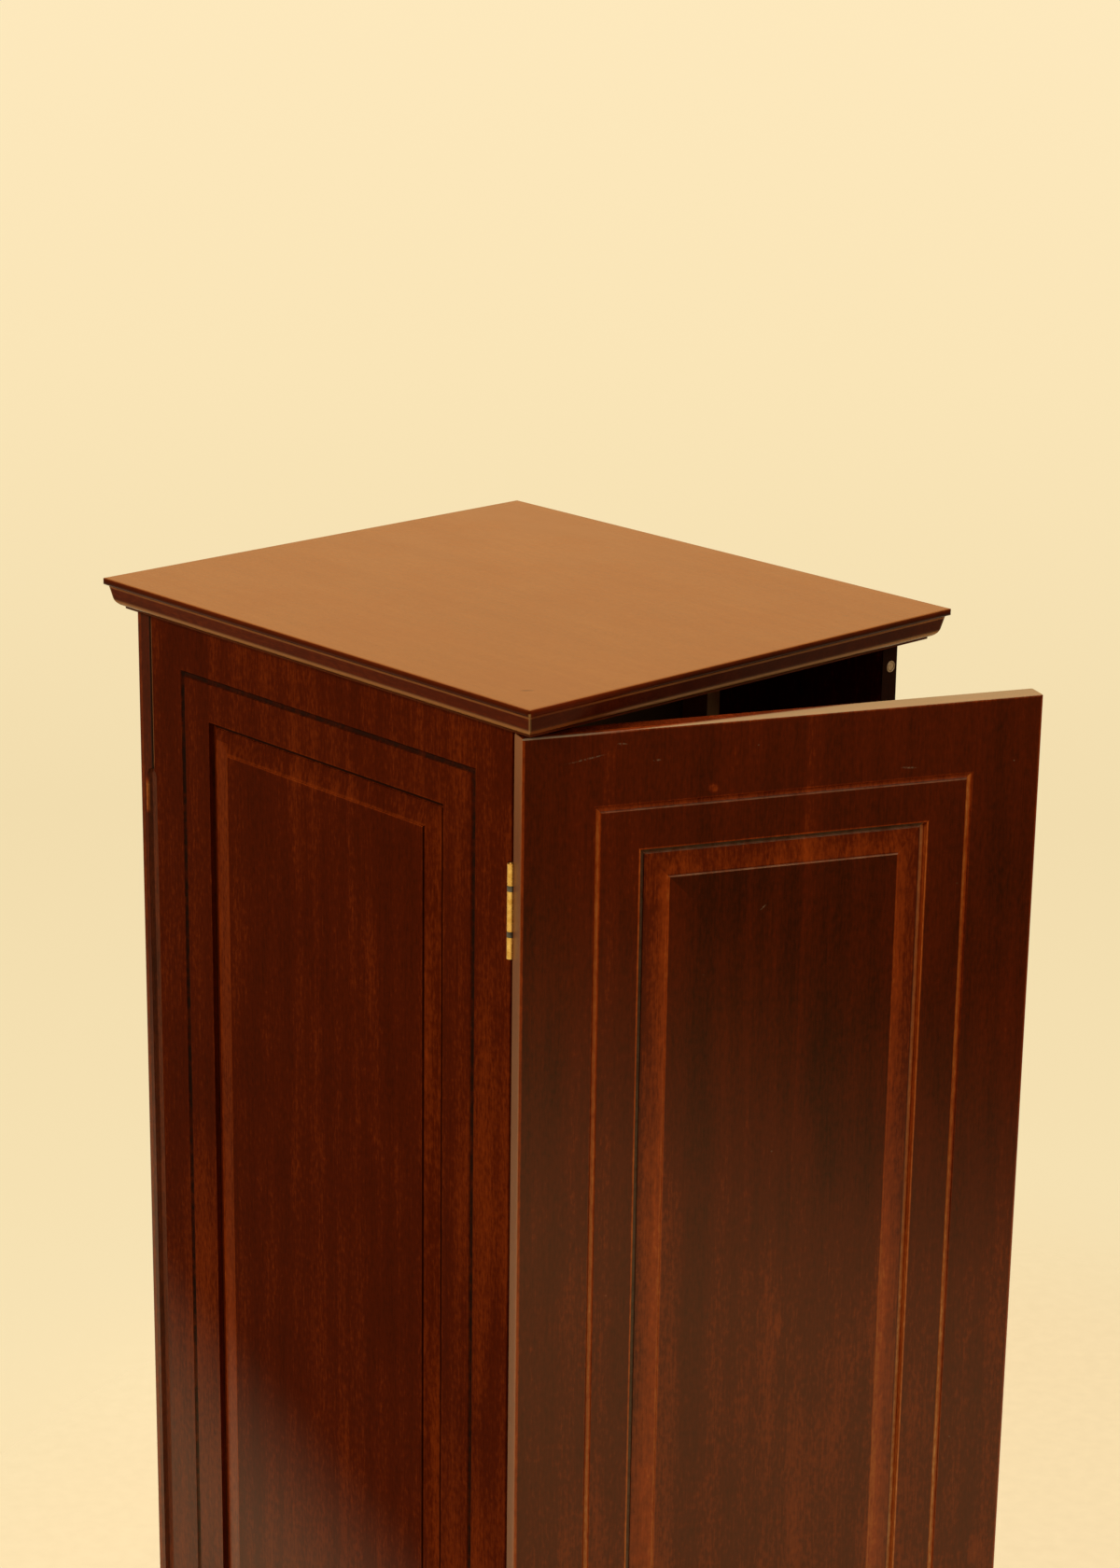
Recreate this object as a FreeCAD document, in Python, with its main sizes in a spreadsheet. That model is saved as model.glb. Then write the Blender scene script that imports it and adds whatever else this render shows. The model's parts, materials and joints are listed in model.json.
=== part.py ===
"""Storage plinth: a display pedestal with a moulded top and base and a door at each end.

Frame: origin on the floor under the middle of the plinth, +Z up, +Y from the front door to the rear door.
The plinth is the same after half a turn about Z, apart from the front door, which stands ajar.
"""
import FreeCAD
import Part
import math
import os
import Sketcher
from FreeCAD import Placement, Rotation, Vector

SIZES = (
    ("overall_height", 1100.0, "floor to display face"),
    ("top_width", 470.0, "top and base boards, left to right"),
    ("top_depth", 530.0, "top and base boards, front to rear"),
    ("overhang", 20.0, "boards past the sides and the closed doors"),
    ("nose_radius", 3.0, "half round nose of the edge moulding"),
    ("quirk_step", 1.4, "step in under the nose"),
    ("slope_height", 11.0, "sloping face under the quirk"),
    ("slope_run", 2.4, "how far the sloping face leans in"),
    ("ovolo_height", 7.0, "rounded foot of the moulding"),
    ("ovolo_run", 6.4, "how far the rounded foot runs in"),
    ("ovolo_radius", 9.5, "radius of the rounded foot"),
    ("fillet_step", 1.0, "step in above the thin fillet"),
    ("fillet_height", 2.0, "thin fillet at the underside"),
    ("corner_ease", 3.5, "softened corners of the boards, along each edge"),
    ("corner_radius", 6.0, "radius of the softened corners"),
    ("side_thickness", 18.0, "left and right sides"),
    ("side_arris", 1.0, "eased upright arrises of the sides"),
    ("side_bead_inset", 43.0, "edge of a side to the middle of its bead groove"),
    ("door_thickness", 20.0, "doors"),
    ("door_back_gap", 0.5, "closed door to the edges of the sides"),
    ("door_edge_inset", 1.0, "door edge to the outer face of the side"),
    ("door_end_gap", 2.6, "door to the boards above and below"),
    ("door_arris", 2.5, "eased upright arrises of the doors"),
    ("door_end_arris", 1.2, "eased level arrises of the doors"),
    ("door_ajar_angle", 23.8, "front door opening at rest, in degrees"),
    ("door_bead_inset", 60.6, "edge of a door to the middle of its bead groove"),
    ("bead_width", 5.0, "bead groove across"),
    ("bead_radius", 2.55, "bottom of the bead groove"),
    ("sink_offset", 34.7, "middle of the bead groove to the wall of the sunk frame"),
    ("sink_width", 4.5, "flat bottom of the sunk frame"),
    ("sink_depth", 4.5, "wall of the sunk frame"),
    ("bevel_width", 19.0, "bevel of the raised field"),
    ("bevel_low", 3.5, "depth of the bevel at the sunk frame"),
    ("bevel_high", 1.0, "step from the bevel up to the field"),
    ("pull_drop", 136.0, "underside of the top to the end of the finger pull"),
    ("pull_door_width", 9.5, "finger pull cut into the door edge"),
    ("pull_side_width", 4.0, "finger pull cut into the side"),
    ("pull_depth", 5.0, "finger pull in from the edge"),
    ("hinge_length", 76.0, "hinge along its pin"),
    ("hinge_drop", 103.0, "door end to the near end of the hinge"),
    ("leaf_thickness", 1.6, "hinge leaves"),
    ("leaf_margin", 2.0, "side's inner face to the end of the leaf"),
    ("barrel_radius", 2.9, "hinge knuckles and washers"),
    ("barrel_clearance", 0.4, "wood and other leaf clear of the knuckles"),
    ("knuckle_length", 32.0, "middle knuckle"),
    ("knuckle_play", 0.1, "knuckle faces to the washers"),
    ("washer_length", 4.5, "steel washer between knuckles"),
    ("pin_radius", 1.4, "hinge pin"),
    ("pin_fit", 0.04, "pin to the bores, on the radius"),
    ("pin_end", 0.6, "pin past the knuckles at each end"),
    ("pin_rounding", 0.5, "rounded pin ends"),
    ("screw_pitch", 26.0, "screws along a hinge leaf"),
    ("screw_head_radius", 3.1, "countersunk heads"),
    ("screw_shank_radius", 1.6, "screw shanks"),
    ("screw_cone_angle", 45.0, "countersunk heads, from the axis, in degrees"),
    ("screw_length", 13.0, "hinge screws"),
    ("screw_fit", 0.05, "holes past the screws, on the radius"),
    ("screw_spare", 0.3, "holes past the screw ends"),
    ("magnet_radius", 5.0, "round magnet catches"),
    ("magnet_length", 6.0, "round magnet catches"),
    ("magnet_proud", 0.2, "magnets past the edge of the side"),
    ("magnet_inset", 7.8, "outer face of the side to the middle of the magnet"),
    ("magnet_drop", 24.2, "door end to the middle of the magnet"),
    ("magnet_fit", 0.05, "recess past the magnet or strike, on the radius"),
    ("strike_radius", 6.0, "steel strike plates in the doors"),
    ("strike_thickness", 1.5, "steel strike plates in the doors"),
    ("divider_thickness", 18.0, "centre divider"),
    ("batten_width", 15.0, "corner battens, out from the side"),
    ("batten_depth", 30.0, "corner battens, along the side"),
    ("batten_screw_pitch", 320.0, "screws along a batten"),
    ("batten_screw_length", 25.0, "batten screws"),
    ("dowel_radius", 4.0, "dowels"),
    ("dowel_in_board", 14.0, "dowels in the top and base boards"),
    ("dowel_in_side", 22.0, "dowels in the sides"),
    ("dowel_pitch", 150.0, "dowels along a side"),
    ("dowel_fit", 0.05, "holes past the dowels, on the radius"),
    ("shelf_thickness", 15.0, "loose shelves"),
    ("shelf_share", 0.5, "height of the underside of the shelves, as a share of the overall height"),
    ("shelf_clearance", 1.0, "shelves to the walls and battens"),
    ("shelf_setback", 12.0, "shelf front edge behind the edges of the sides"),
    ("shelf_pin_radius", 2.5, "shelf pins"),
    ("shelf_pin_in_side", 10.0, "shelf pins in the sides"),
    ("shelf_pin_out", 8.0, "shelf pins under the shelves"),
    ("shelf_pin_inset", 30.0, "shelf pins from the shelf edge and the batten"),
    ("waste", 2.0, "cuts past the face that they start from"),
)

# Derived sizes, as expressions of the sheet
BODY_WIDTH = "(sizes.top_width - 2 * sizes.overhang)"
BODY_DEPTH = "(sizes.top_depth - 2 * sizes.overhang)"
BOARD = "(2 * sizes.nose_radius + sizes.slope_height + sizes.ovolo_height + sizes.fillet_height)"
BODY_HEIGHT = f"(sizes.overall_height - 2 * {BOARD})"
MID_HEIGHT = "(sizes.overall_height / 2)"
SIDE_DEPTH = f"({BODY_DEPTH} - 2 * (sizes.door_thickness + sizes.door_back_gap))"
INNER_HALF = f"({BODY_WIDTH} / 2 - sizes.side_thickness)"
HALF_GAP = "(sizes.door_back_gap / 2)"
DOOR_WIDTH = f"({BODY_WIDTH} - 2 * sizes.door_edge_inset)"
DOOR_HEIGHT = f"({BODY_HEIGHT} - 2 * sizes.door_end_gap)"
DOOR_FREE_EDGE = f"(sizes.door_edge_inset + {DOOR_WIDTH})"
DOOR_FACE = f"(-({HALF_GAP} + sizes.door_thickness))"
HINGE_X = f"({BODY_WIDTH} / 2)"
HINGE_Y = f"({SIDE_DEPTH} / 2 + {HALF_GAP})"
HINGE_Z = f"({DOOR_HEIGHT} / 2 - sizes.hinge_drop - sizes.hinge_length / 2)"
LEAF_WIDTH = "(sizes.side_thickness - sizes.leaf_margin)"
LEAF_SCREW_X = f"((sizes.barrel_radius + {LEAF_WIDTH}) / 2)"
WASHER_START = "(sizes.knuckle_length / 2 + sizes.knuckle_play)"
FRAME_KNUCKLE_START = f"({WASHER_START} + sizes.washer_length + sizes.knuckle_play)"
SCREW_CONE = "(sizes.screw_head_radius - sizes.screw_shank_radius) / tan(sizes.screw_cone_angle * 1 deg)"
SCREW_TAPER = "-sizes.screw_cone_angle"
MAGNET_Z = f"({DOOR_HEIGHT} / 2 - sizes.magnet_drop)"
STRIKE_X = f"({BODY_WIDTH} - sizes.magnet_inset)"
PULL_RADIUS = "((sizes.pull_side_width + sizes.door_back_gap + sizes.pull_door_width) / 2)"
PULL_STRAIGHT = f"({BODY_HEIGHT} / 2 - sizes.pull_drop - {PULL_RADIUS})"
BATTEN_Y = "((sizes.divider_thickness + sizes.batten_depth) / 2)"
DOWEL_X = f"({BODY_WIDTH} / 2 - sizes.side_thickness / 2)"
SHELF_Z = "(sizes.overall_height * sizes.shelf_share)"
SHELF_PIN_Z = f"({SHELF_Z} - sizes.shelf_pin_radius)"
SHELF_FRONT = f"({SIDE_DEPTH} / 2 - sizes.shelf_setback)"
SHELF_PIN_FRONT = f"({SHELF_FRONT} - sizes.shelf_pin_inset)"
SHELF_PIN_BACK = "(sizes.divider_thickness / 2 + sizes.batten_depth + sizes.shelf_pin_inset)"

# Origin planes, and the way that their normals point along the axis square to them
PLANES = {"XY": ("XY_Plane", 1), "XZ": ("XZ_Plane", -1), "YZ": ("YZ_Plane", 1)}

doc = FreeCAD.newDocument("storage_plinth")
sheet = doc.addObject("Spreadsheet::Sheet", "sizes")
for row, (alias, value, meaning) in enumerate(SIZES, 1):
    sheet.set(f"A{row}", meaning)
    sheet.set(f"B{row}", str(value))
    sheet.setAlias(f"B{row}", alias)
doc.recompute()
nodes = []


# Sketches

def number(owner, expression):
    value = owner.evalExpression(expression)
    return float(getattr(value, "Value", value))


def outline(corners, arcs=None):
    """A closed loop through corners; arcs gives (radius, turn) for the stretch after a corner."""
    return "outline", corners, arcs or {}


def rectangle(left, low, right, high):
    return outline([(left, low), (right, low), (right, high), (left, high)])


def circle(across, up, radius):
    return "circle", (across, up), radius


def bind(sketch, constraint, expression):
    index = sketch.addConstraint(constraint)
    sketch.renameConstraint(index, f"size_{index}")
    sketch.setExpression(f"Constraints.size_{index}", expression)


def bind_point(sketch, geometry, point, across, up):
    for kind, expression in (("DistanceX", across), ("DistanceY", up)):
        start = number(sketch, expression)
        bind(sketch, Sketcher.Constraint(kind, -1, 1, geometry, point, start), expression)


def draw_arc(sketch, start, end, radius, turn):
    """An arc of under half a turn; turn is 1 where it runs anticlockwise and -1 where it runs clockwise."""
    size = number(sketch, radius)
    chord = end - start
    left = Vector(-chord.y, chord.x, 0).normalize()
    reach = math.sqrt(max(size ** 2 - (chord.Length / 2) ** 2, 0))
    centre = (start + end) * 0.5 + left * (reach * turn)
    first, last = (start, end) if turn > 0 else (end, start)
    begin = math.atan2(first.y - centre.y, first.x - centre.x)
    finish = math.atan2(last.y - centre.y, last.x - centre.x)
    if finish < begin:
        finish += 2 * math.pi
    arc = Part.ArcOfCircle(Part.Circle(centre, Vector(0, 0, 1), size), begin, finish)
    geometry = sketch.addGeometry(arc)
    bind(sketch, Sketcher.Constraint("Radius", geometry, size), radius)
    return (geometry, 1, 2) if turn > 0 else (geometry, 2, 1)


def draw_outline(sketch, corners, arcs):
    spots = [Vector(number(sketch, across), number(sketch, up), 0) for across, up in corners]
    count = len(spots)
    stretches = []
    for index, spot in enumerate(spots):
        following = spots[(index + 1) % count]
        if index in arcs:
            stretches.append(draw_arc(sketch, spot, following, *arcs[index]))
        else:
            stretches.append((sketch.addGeometry(Part.LineSegment(spot, following)), 1, 2))
    for index, (geometry, start, end) in enumerate(stretches):
        following, following_start, _ = stretches[(index + 1) % count]
        sketch.addConstraint(Sketcher.Constraint("Coincident", geometry, end, following, following_start))
        bind_point(sketch, geometry, start, *corners[index])


def draw_circle(sketch, middle, radius):
    across, up = middle
    size = number(sketch, radius)
    spot = Vector(number(sketch, across), number(sketch, up), 0)
    geometry = sketch.addGeometry(Part.Circle(spot, Vector(0, 0, 1), size))
    bind(sketch, Sketcher.Constraint("Radius", geometry, size), radius)
    bind_point(sketch, geometry, 3, across, up)


def origin_feature(body, role):
    return next(feature for feature in body.Origin.OriginFeatures if feature.Role == role)


def draw(body, name, plane, at, loops):
    """A sketch square to an axis, at a place along that axis."""
    role, normal = PLANES[plane]
    sketch = body.newObject("Sketcher::SketchObject", f"{body.Name}_{name}_sketch")
    sketch.AttachmentSupport = (origin_feature(body, role), "")
    sketch.MapMode = "FlatFace"
    sketch.setExpression("AttachmentOffset.Base.z", f"{normal} * ({at})")
    for kind, *shape in loops:
        if kind == "outline":
            draw_outline(sketch, *shape)
        else:
            draw_circle(sketch, *shape)
    doc.recompute()
    if not sketch.FullyConstrained:
        raise RuntimeError(f"{sketch.Name} is not fully constrained")
    return sketch


# Features

def new_body(label):
    body = doc.addObject("PartDesign::Body", label)
    body.Label = label
    nodes.append(body)
    return body


def place(body, across, along, up, axis=Vector(0, 0, 1), angle="0"):
    body.Placement = Placement(Vector(), Rotation(axis, number(body, angle)))
    body.setExpression("Placement.Rotation.Angle", angle)
    for name, expression in (("x", across), ("y", along), ("z", up)):
        body.setExpression(f"Placement.Base.{name}", expression)


def extrude(body, kind, name, plane, at, loops, length, toward):
    """Pad or pocket from a sketch; toward is 1 or -1 along the axis, or 0 for both ways alike."""
    sketch = draw(body, name, plane, at, loops)
    feature = body.newObject(kind, f"{body.Name}_{name}")
    feature.Profile = sketch
    if toward == 0:
        feature.SideType = "Symmetric"
    else:
        along_normal = toward * PLANES[plane][1] > 0
        feature.Reversed = along_normal if kind == "PartDesign::Pocket" else not along_normal
    feature.setExpression("Length", length)
    return feature


def pad(body, name, plane, at, loops, length, toward, taper=None):
    feature = extrude(body, "PartDesign::Pad", name, plane, at, loops, length, toward)
    if taper:
        feature.setExpression("TaperAngle", taper)
    doc.recompute()
    return feature


def check_cut(feature):
    doc.recompute()
    if feature.Shape.Volume >= feature.BaseFeature.Shape.Volume:
        raise RuntimeError(f"{feature.Name} cuts nothing")
    return feature


def cut(body, name, plane, at, loops, length, toward, taper=None):
    feature = extrude(body, "PartDesign::Pocket", name, plane, at, loops, length, toward)
    if taper:
        feature.setExpression("TaperAngle", taper)
    return check_cut(feature)


def mirror(body, name, features, role):
    feature = body.newObject("PartDesign::Mirrored", f"{body.Name}_{name}")
    feature.Originals = features
    feature.MirrorPlane = (origin_feature(body, role), [""])
    body.Tip = feature
    doc.recompute()
    return feature


def ease(body, name, base, radius, chosen):
    """Round the edges of base for which chosen is true."""
    feature = body.newObject("PartDesign::Fillet", f"{body.Name}_{name}")
    names = [f"Edge{index}" for index, edge in enumerate(base.Shape.Edges, 1) if chosen(edge)]
    feature.Base = (base, names)
    feature.setExpression("Radius", radius)
    doc.recompute()
    return feature


def is_upright(edge):
    return edge.BoundBox.ZLength > max(edge.BoundBox.XLength, edge.BoundBox.YLength)


def sweep_cut(body, name, path, section):
    feature = body.newObject("PartDesign::SubtractivePipe", f"{body.Name}_{name}")
    feature.Profile = section
    feature.Spine = (path, [f"Edge{index}" for index in range(1, path.GeometryCount + 1)])
    feature.Transition = "Right corner"
    return check_cut(feature)


# Top and base boards

def moulding(half, side):
    """Corners of the edge moulding from the display face down, on one side of a board."""
    insets = (
        ("sizes.nose_radius", "0"),
        ("0", "sizes.nose_radius"),
        ("sizes.nose_radius", "2 * sizes.nose_radius"),
        ("(sizes.nose_radius + sizes.quirk_step)", "2 * sizes.nose_radius"),
        (
            "(sizes.nose_radius + sizes.quirk_step + sizes.slope_run)",
            "(2 * sizes.nose_radius + sizes.slope_height)",
        ),
        (
            "(sizes.nose_radius + sizes.quirk_step + sizes.slope_run + sizes.ovolo_run)",
            f"({BOARD} - sizes.fillet_height)",
        ),
    )
    return [(f"{side} * ({half} - {inset})", f"-{drop}") for inset, drop in insets]


def moulding_waste(half, side):
    """What the moulding cutter takes away along one edge of a board."""
    corners = moulding(half, side)
    shoulder = f"({corners[-1][0]} - {side} * sizes.fillet_step)"
    outside = f"{side} * ({half} + 2 * sizes.waste)"
    below = f"-({BOARD} + sizes.waste)"
    corners += [
        (shoulder, corners[-1][1]),
        (shoulder, below),
        (outside, below),
        (outside, "sizes.waste"),
        (corners[0][0], "sizes.waste"),
    ]
    turn = -side
    nose = ("sizes.nose_radius", turn)
    return outline(corners, {0: nose, 1: nose, 4: ("sizes.ovolo_radius", turn)})


def corner_waste(side, end):
    """What softening one corner of a board takes away, seen from above."""
    wide = f"{side} * sizes.top_width / 2"
    deep = f"{end} * sizes.top_depth / 2"
    corners = [
        (f"{wide} - {side} * sizes.corner_ease", f"{deep} + {end} * sizes.waste"),
        (f"{wide} - {side} * sizes.corner_ease", deep),
        (wide, f"{deep} - {end} * sizes.corner_ease"),
        (f"{wide} + {side} * sizes.waste", f"{deep} - {end} * sizes.corner_ease"),
        (f"{wide} + {side} * sizes.waste", f"{deep} + {end} * sizes.waste"),
    ]
    return outline(corners, {1: ("sizes.corner_radius", -side * end)})


def dowel_loops(radius):
    return [
        circle(f"{side} * {DOWEL_X}", f"{row} * sizes.dowel_pitch", radius)
        for side in (-1, 1)
        for row in (-1, 0, 1)
    ]


def make_board(label):
    """A moulded board, with its display face up at the height of its own origin."""
    body = new_body(label)
    wide = "(sizes.top_width / 2 + sizes.waste)"
    deep = "(sizes.top_depth / 2 + sizes.waste)"
    pad(body, "blank", "XY", "0", [rectangle(f"-{wide}", f"-{deep}", wide, deep)], BOARD, -1)
    for name, plane, half, length in (
        ("ends", "YZ", "sizes.top_depth / 2", wide),
        ("flanks", "XZ", "sizes.top_width / 2", deep),
    ):
        loops = [moulding_waste(half, -1), moulding_waste(half, 1)]
        cut(body, name, plane, "0", loops, f"2 * {length} + sizes.waste", 0)
    corners = [corner_waste(side, end) for side in (-1, 1) for end in (-1, 1)]
    cut(body, "corners", "XY", "0", corners, BOARD, -1)
    holes = dowel_loops("sizes.dowel_radius + sizes.dowel_fit")
    cut(body, "dowel_holes", "XY", f"-{BOARD}", holes, "sizes.dowel_in_board", 1)
    return body


def make_dowels(label):
    """Glued dowels, in the frame of the board that they hold."""
    body = new_body(label)
    low = f"-({BOARD} + sizes.dowel_in_side)"
    length = "sizes.dowel_in_side + sizes.dowel_in_board"
    pad(body, "rods", "XY", low, dowel_loops("sizes.dowel_radius"), length, 1)
    return body


def make_boards():
    for name, up, turn in (("top", "sizes.overall_height", "0"), ("base", "0", "180")):
        for body in (make_board(f"{name}_board"), make_dowels(f"{name}_dowels")):
            place(body, "0", "0", up, Vector(1, 0, 0), turn)


# Routed sides and doors

def rout_face(body, plane, at, middle, half_width, half_height, bead_inset, section_point, turn):
    """Run the bead groove and the sunk, bevelled frame round a face.

    section_point turns a depth and an inset from the edge into a point of the level section.
    """
    def frame(inset):
        wide = f"({half_width} - {inset})"
        high = f"({half_height} - {inset})"
        return rectangle(f"{middle} - {wide}", f"-{high}", f"{middle} + {wide}", high)

    sink_inset = f"({bead_inset} + sizes.sink_offset)"
    bevel_inset = f"({sink_inset} + sizes.sink_width)"
    field_inset = f"({bevel_inset} + sizes.bevel_width)"
    near = f"({bead_inset} - sizes.bead_width / 2)"
    far = f"({bead_inset} + sizes.bead_width / 2)"
    outside = "-sizes.waste"
    bead = [(outside, near), ("0", near), ("0", far), (outside, far)]
    sunk = [
        (outside, sink_inset),
        ("sizes.sink_depth", sink_inset),
        ("sizes.sink_depth", bevel_inset),
        ("sizes.bevel_low", bevel_inset),
        ("sizes.bevel_high", field_inset),
        (outside, field_inset),
    ]
    for name, inset, section, arcs in (
        ("bead", bead_inset, bead, {1: ("sizes.bead_radius", turn)}),
        ("sunk_frame", sink_inset, sunk, {}),
    ):
        path = draw(body, f"{name}_path", plane, at, [frame(inset)])
        points = [section_point(depth, spot) for depth, spot in section]
        profile = draw(body, f"{name}_section", "XY", "0", [outline(points, arcs)])
        sweep_cut(body, name, path, profile)


def finger_pull(near, far):
    """Slot with round ends, seen on the edge; near and far are its two long sides, near the smaller."""
    middle = f"(({near}) + ({far})) / 2"
    tip = f"({PULL_STRAIGHT} + {PULL_RADIUS})"
    corners = [
        (near, f"-{PULL_STRAIGHT}"),
        (middle, f"-{tip}"),
        (far, f"-{PULL_STRAIGHT}"),
        (far, PULL_STRAIGHT),
        (middle, tip),
        (near, PULL_STRAIGHT),
    ]
    rounded = (PULL_RADIUS, 1)
    return outline(corners, {0: rounded, 1: rounded, 3: rounded, 4: rounded})


def hinge_screw_loops(heights, radius):
    return [
        circle(LEAF_SCREW_X, f"{height} + {step} * sizes.screw_pitch", radius)
        for height in heights
        for step in (-1, 0, 1)
    ]


def hinge_seat(body, edge, axis_y, inward):
    """Leaf mortise, barrel notch and screw holes for the upper hinge."""
    low = f"{HINGE_Z} - sizes.hinge_length / 2"
    high = f"{HINGE_Z} + sizes.hinge_length / 2"
    mortise = rectangle("-sizes.waste", low, LEAF_WIDTH, high)
    barrel = circle("0", axis_y, "sizes.barrel_radius + sizes.barrel_clearance")
    barrel_length = "sizes.hinge_length + 2 * (sizes.pin_end + sizes.barrel_clearance)"
    barrel_low = f"{low} - sizes.pin_end - sizes.barrel_clearance"
    holes = hinge_screw_loops([HINGE_Z], "sizes.screw_shank_radius + sizes.screw_fit")
    hole_length = "sizes.screw_length + sizes.screw_spare"
    return [
        cut(body, "leaf_mortise", "XZ", edge, [mortise], "sizes.leaf_thickness", inward),
        cut(body, "barrel_notch", "XY", barrel_low, [barrel], barrel_length, 1),
        cut(body, "hinge_screw_holes", "XZ", edge, holes, hole_length, inward),
    ]


def batten_screw_loops(radius, rows=(-1, 1)):
    return [
        circle(f"{row} * {BATTEN_Y}", f"{step} * sizes.batten_screw_pitch", radius)
        for row in rows
        for step in (-1, 0, 1)
    ]


def make_side(label):
    """A side with its outer face at x = 0, its hinges on the -y edge and its magnets on the +y edge."""
    body = new_body(label)
    deep = f"({SIDE_DEPTH} / 2)"
    high = f"({BODY_HEIGHT} / 2)"
    inner = "sizes.side_thickness"
    face = rectangle(f"-{deep}", f"-{high}", deep, high)
    blank = pad(body, "blank", "YZ", "0", [face], inner, 1)
    middle = blank.Shape.BoundBox.Center.x

    def is_outer_arris(edge):
        return is_upright(edge) and edge.BoundBox.XMax < middle

    ease(body, "arrises", blank, "sizes.side_arris", is_outer_arris)
    rout_face(
        body, "YZ", "0", "0", deep, high, "sizes.side_bead_inset",
        lambda depth, inset: (depth, f"{deep} - {inset}"), -1,
    )
    seat = hinge_seat(body, f"-{deep}", f"-{HINGE_Y}", 1)
    magnet = circle("sizes.magnet_inset", MAGNET_Z, "sizes.magnet_radius + sizes.magnet_fit")
    magnet_depth = "sizes.magnet_length - sizes.magnet_proud"
    dowel = "sizes.dowel_radius + sizes.dowel_fit"
    dowels = [circle(f"{inner} / 2", f"{row} * sizes.dowel_pitch", dowel) for row in (-1, 0, 1)]
    seat.append(cut(body, "magnet_recess", "XZ", deep, [magnet], magnet_depth, -1))
    seat.append(cut(body, "dowel_holes", "XY", high, dowels, "sizes.dowel_in_side", -1))
    mirror(body, "lower_end", seat, "XY_Plane")
    pull_far = f"{deep} + sizes.door_back_gap + sizes.pull_door_width"
    pull = finger_pull(f"{deep} - sizes.pull_side_width", pull_far)
    cut(body, "finger_pull", "YZ", "0", [pull], "sizes.pull_depth", 1)
    screw_depth = "sizes.batten_screw_length - sizes.batten_width + sizes.screw_spare"
    screws = batten_screw_loops("sizes.screw_shank_radius + sizes.screw_fit")
    cut(body, "batten_screw_holes", "YZ", inner, screws, screw_depth, -1)
    pin_rise = f"{SHELF_PIN_Z} - {MID_HEIGHT}"
    pin_hole = "sizes.shelf_pin_radius + sizes.dowel_fit"
    pins = [
        circle(f"{row} * {spot}", pin_rise, pin_hole)
        for row in (-1, 1)
        for spot in (SHELF_PIN_FRONT, SHELF_PIN_BACK)
    ]
    cut(body, "shelf_pin_holes", "YZ", inner, pins, "sizes.shelf_pin_in_side", -1)
    return body


def make_door(label):
    """A closed front door about its hinge axis, which is the origin's upright."""
    body = new_body(label)
    high = f"({DOOR_HEIGHT} / 2)"
    back = f"-{HALF_GAP}"
    leaf = rectangle("sizes.door_edge_inset", f"-{high}", DOOR_FREE_EDGE, high)
    blank = pad(body, "blank", "XZ", back, [leaf], "sizes.door_thickness", -1)
    upright = ease(body, "upright_arrises", blank, "sizes.door_arris", is_upright)
    ease(body, "end_arrises", upright, "sizes.door_end_arris", lambda edge: not is_upright(edge))
    half_width = f"({DOOR_WIDTH} / 2)"
    rout_face(
        body, "XZ", DOOR_FACE, f"(sizes.door_edge_inset + {half_width})", half_width, high,
        "sizes.door_bead_inset",
        lambda depth, inset: (f"{DOOR_FREE_EDGE} - {inset}", f"{DOOR_FACE} + {depth}"), 1,
    )
    seat = hinge_seat(body, back, "0", -1)
    strike = circle(STRIKE_X, MAGNET_Z, "sizes.strike_radius + sizes.magnet_fit")
    seat.append(cut(body, "strike_recess", "XZ", back, [strike], "sizes.strike_thickness", -1))
    mirror(body, "lower_end", seat, "XY_Plane")
    pull = finger_pull(f"-({HALF_GAP} + sizes.pull_door_width)", f"{HALF_GAP} + sizes.pull_side_width")
    cut(body, "finger_pull", "YZ", DOOR_FREE_EDGE, [pull], "sizes.pull_depth", -1)
    return body


# Hinges

def make_frame_leaf(label):
    """The leaf let into the side, with the two end knuckles, about the middle of the hinge."""
    body = new_body(label)
    long = "(sizes.hinge_length / 2)"
    plate = rectangle("0", f"-{long}", LEAF_WIDTH, long)
    reach = "(sizes.barrel_radius + sizes.barrel_clearance)"
    pad(body, "plate", "XZ", HALF_GAP, [plate], "sizes.leaf_thickness", 1)
    barrel = circle("0", "0", "sizes.barrel_radius")
    pad(body, "knuckles", "XY", f"-{long}", [barrel], "sizes.hinge_length", 1)
    space = rectangle(f"-{reach}", f"-{FRAME_KNUCKLE_START}", reach, FRAME_KNUCKLE_START)
    cut(body, "knuckle_space", "XZ", "0", [space], f"2 * {reach}", 0)
    cut_leaf_holes(body, HALF_GAP, 1)
    return body


def make_door_leaf(label):
    """The leaf let into the door, with the middle knuckle, about the middle of the hinge."""
    body = new_body(label)
    long = "(sizes.hinge_length / 2)"
    half = "(sizes.knuckle_length / 2)"
    reach = "(sizes.barrel_radius + sizes.barrel_clearance)"
    plate = rectangle("0", f"-{long}", LEAF_WIDTH, long)
    pad(body, "plate", "XZ", f"-{HALF_GAP}", [plate], "sizes.leaf_thickness", -1)
    barrel = circle("0", "0", "sizes.barrel_radius")
    pad(body, "knuckle", "XY", f"-{half}", [barrel], "sizes.knuckle_length", 1)
    spaces = [
        rectangle(f"-{reach}", f"-({long} + sizes.waste)", reach, f"-{half}"),
        rectangle(f"-{reach}", half, reach, f"{long} + sizes.waste"),
    ]
    cut(body, "knuckle_spaces", "XZ", "0", spaces, f"2 * {reach}", 0)
    cut_leaf_holes(body, f"-{HALF_GAP}", -1)
    return body


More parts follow.
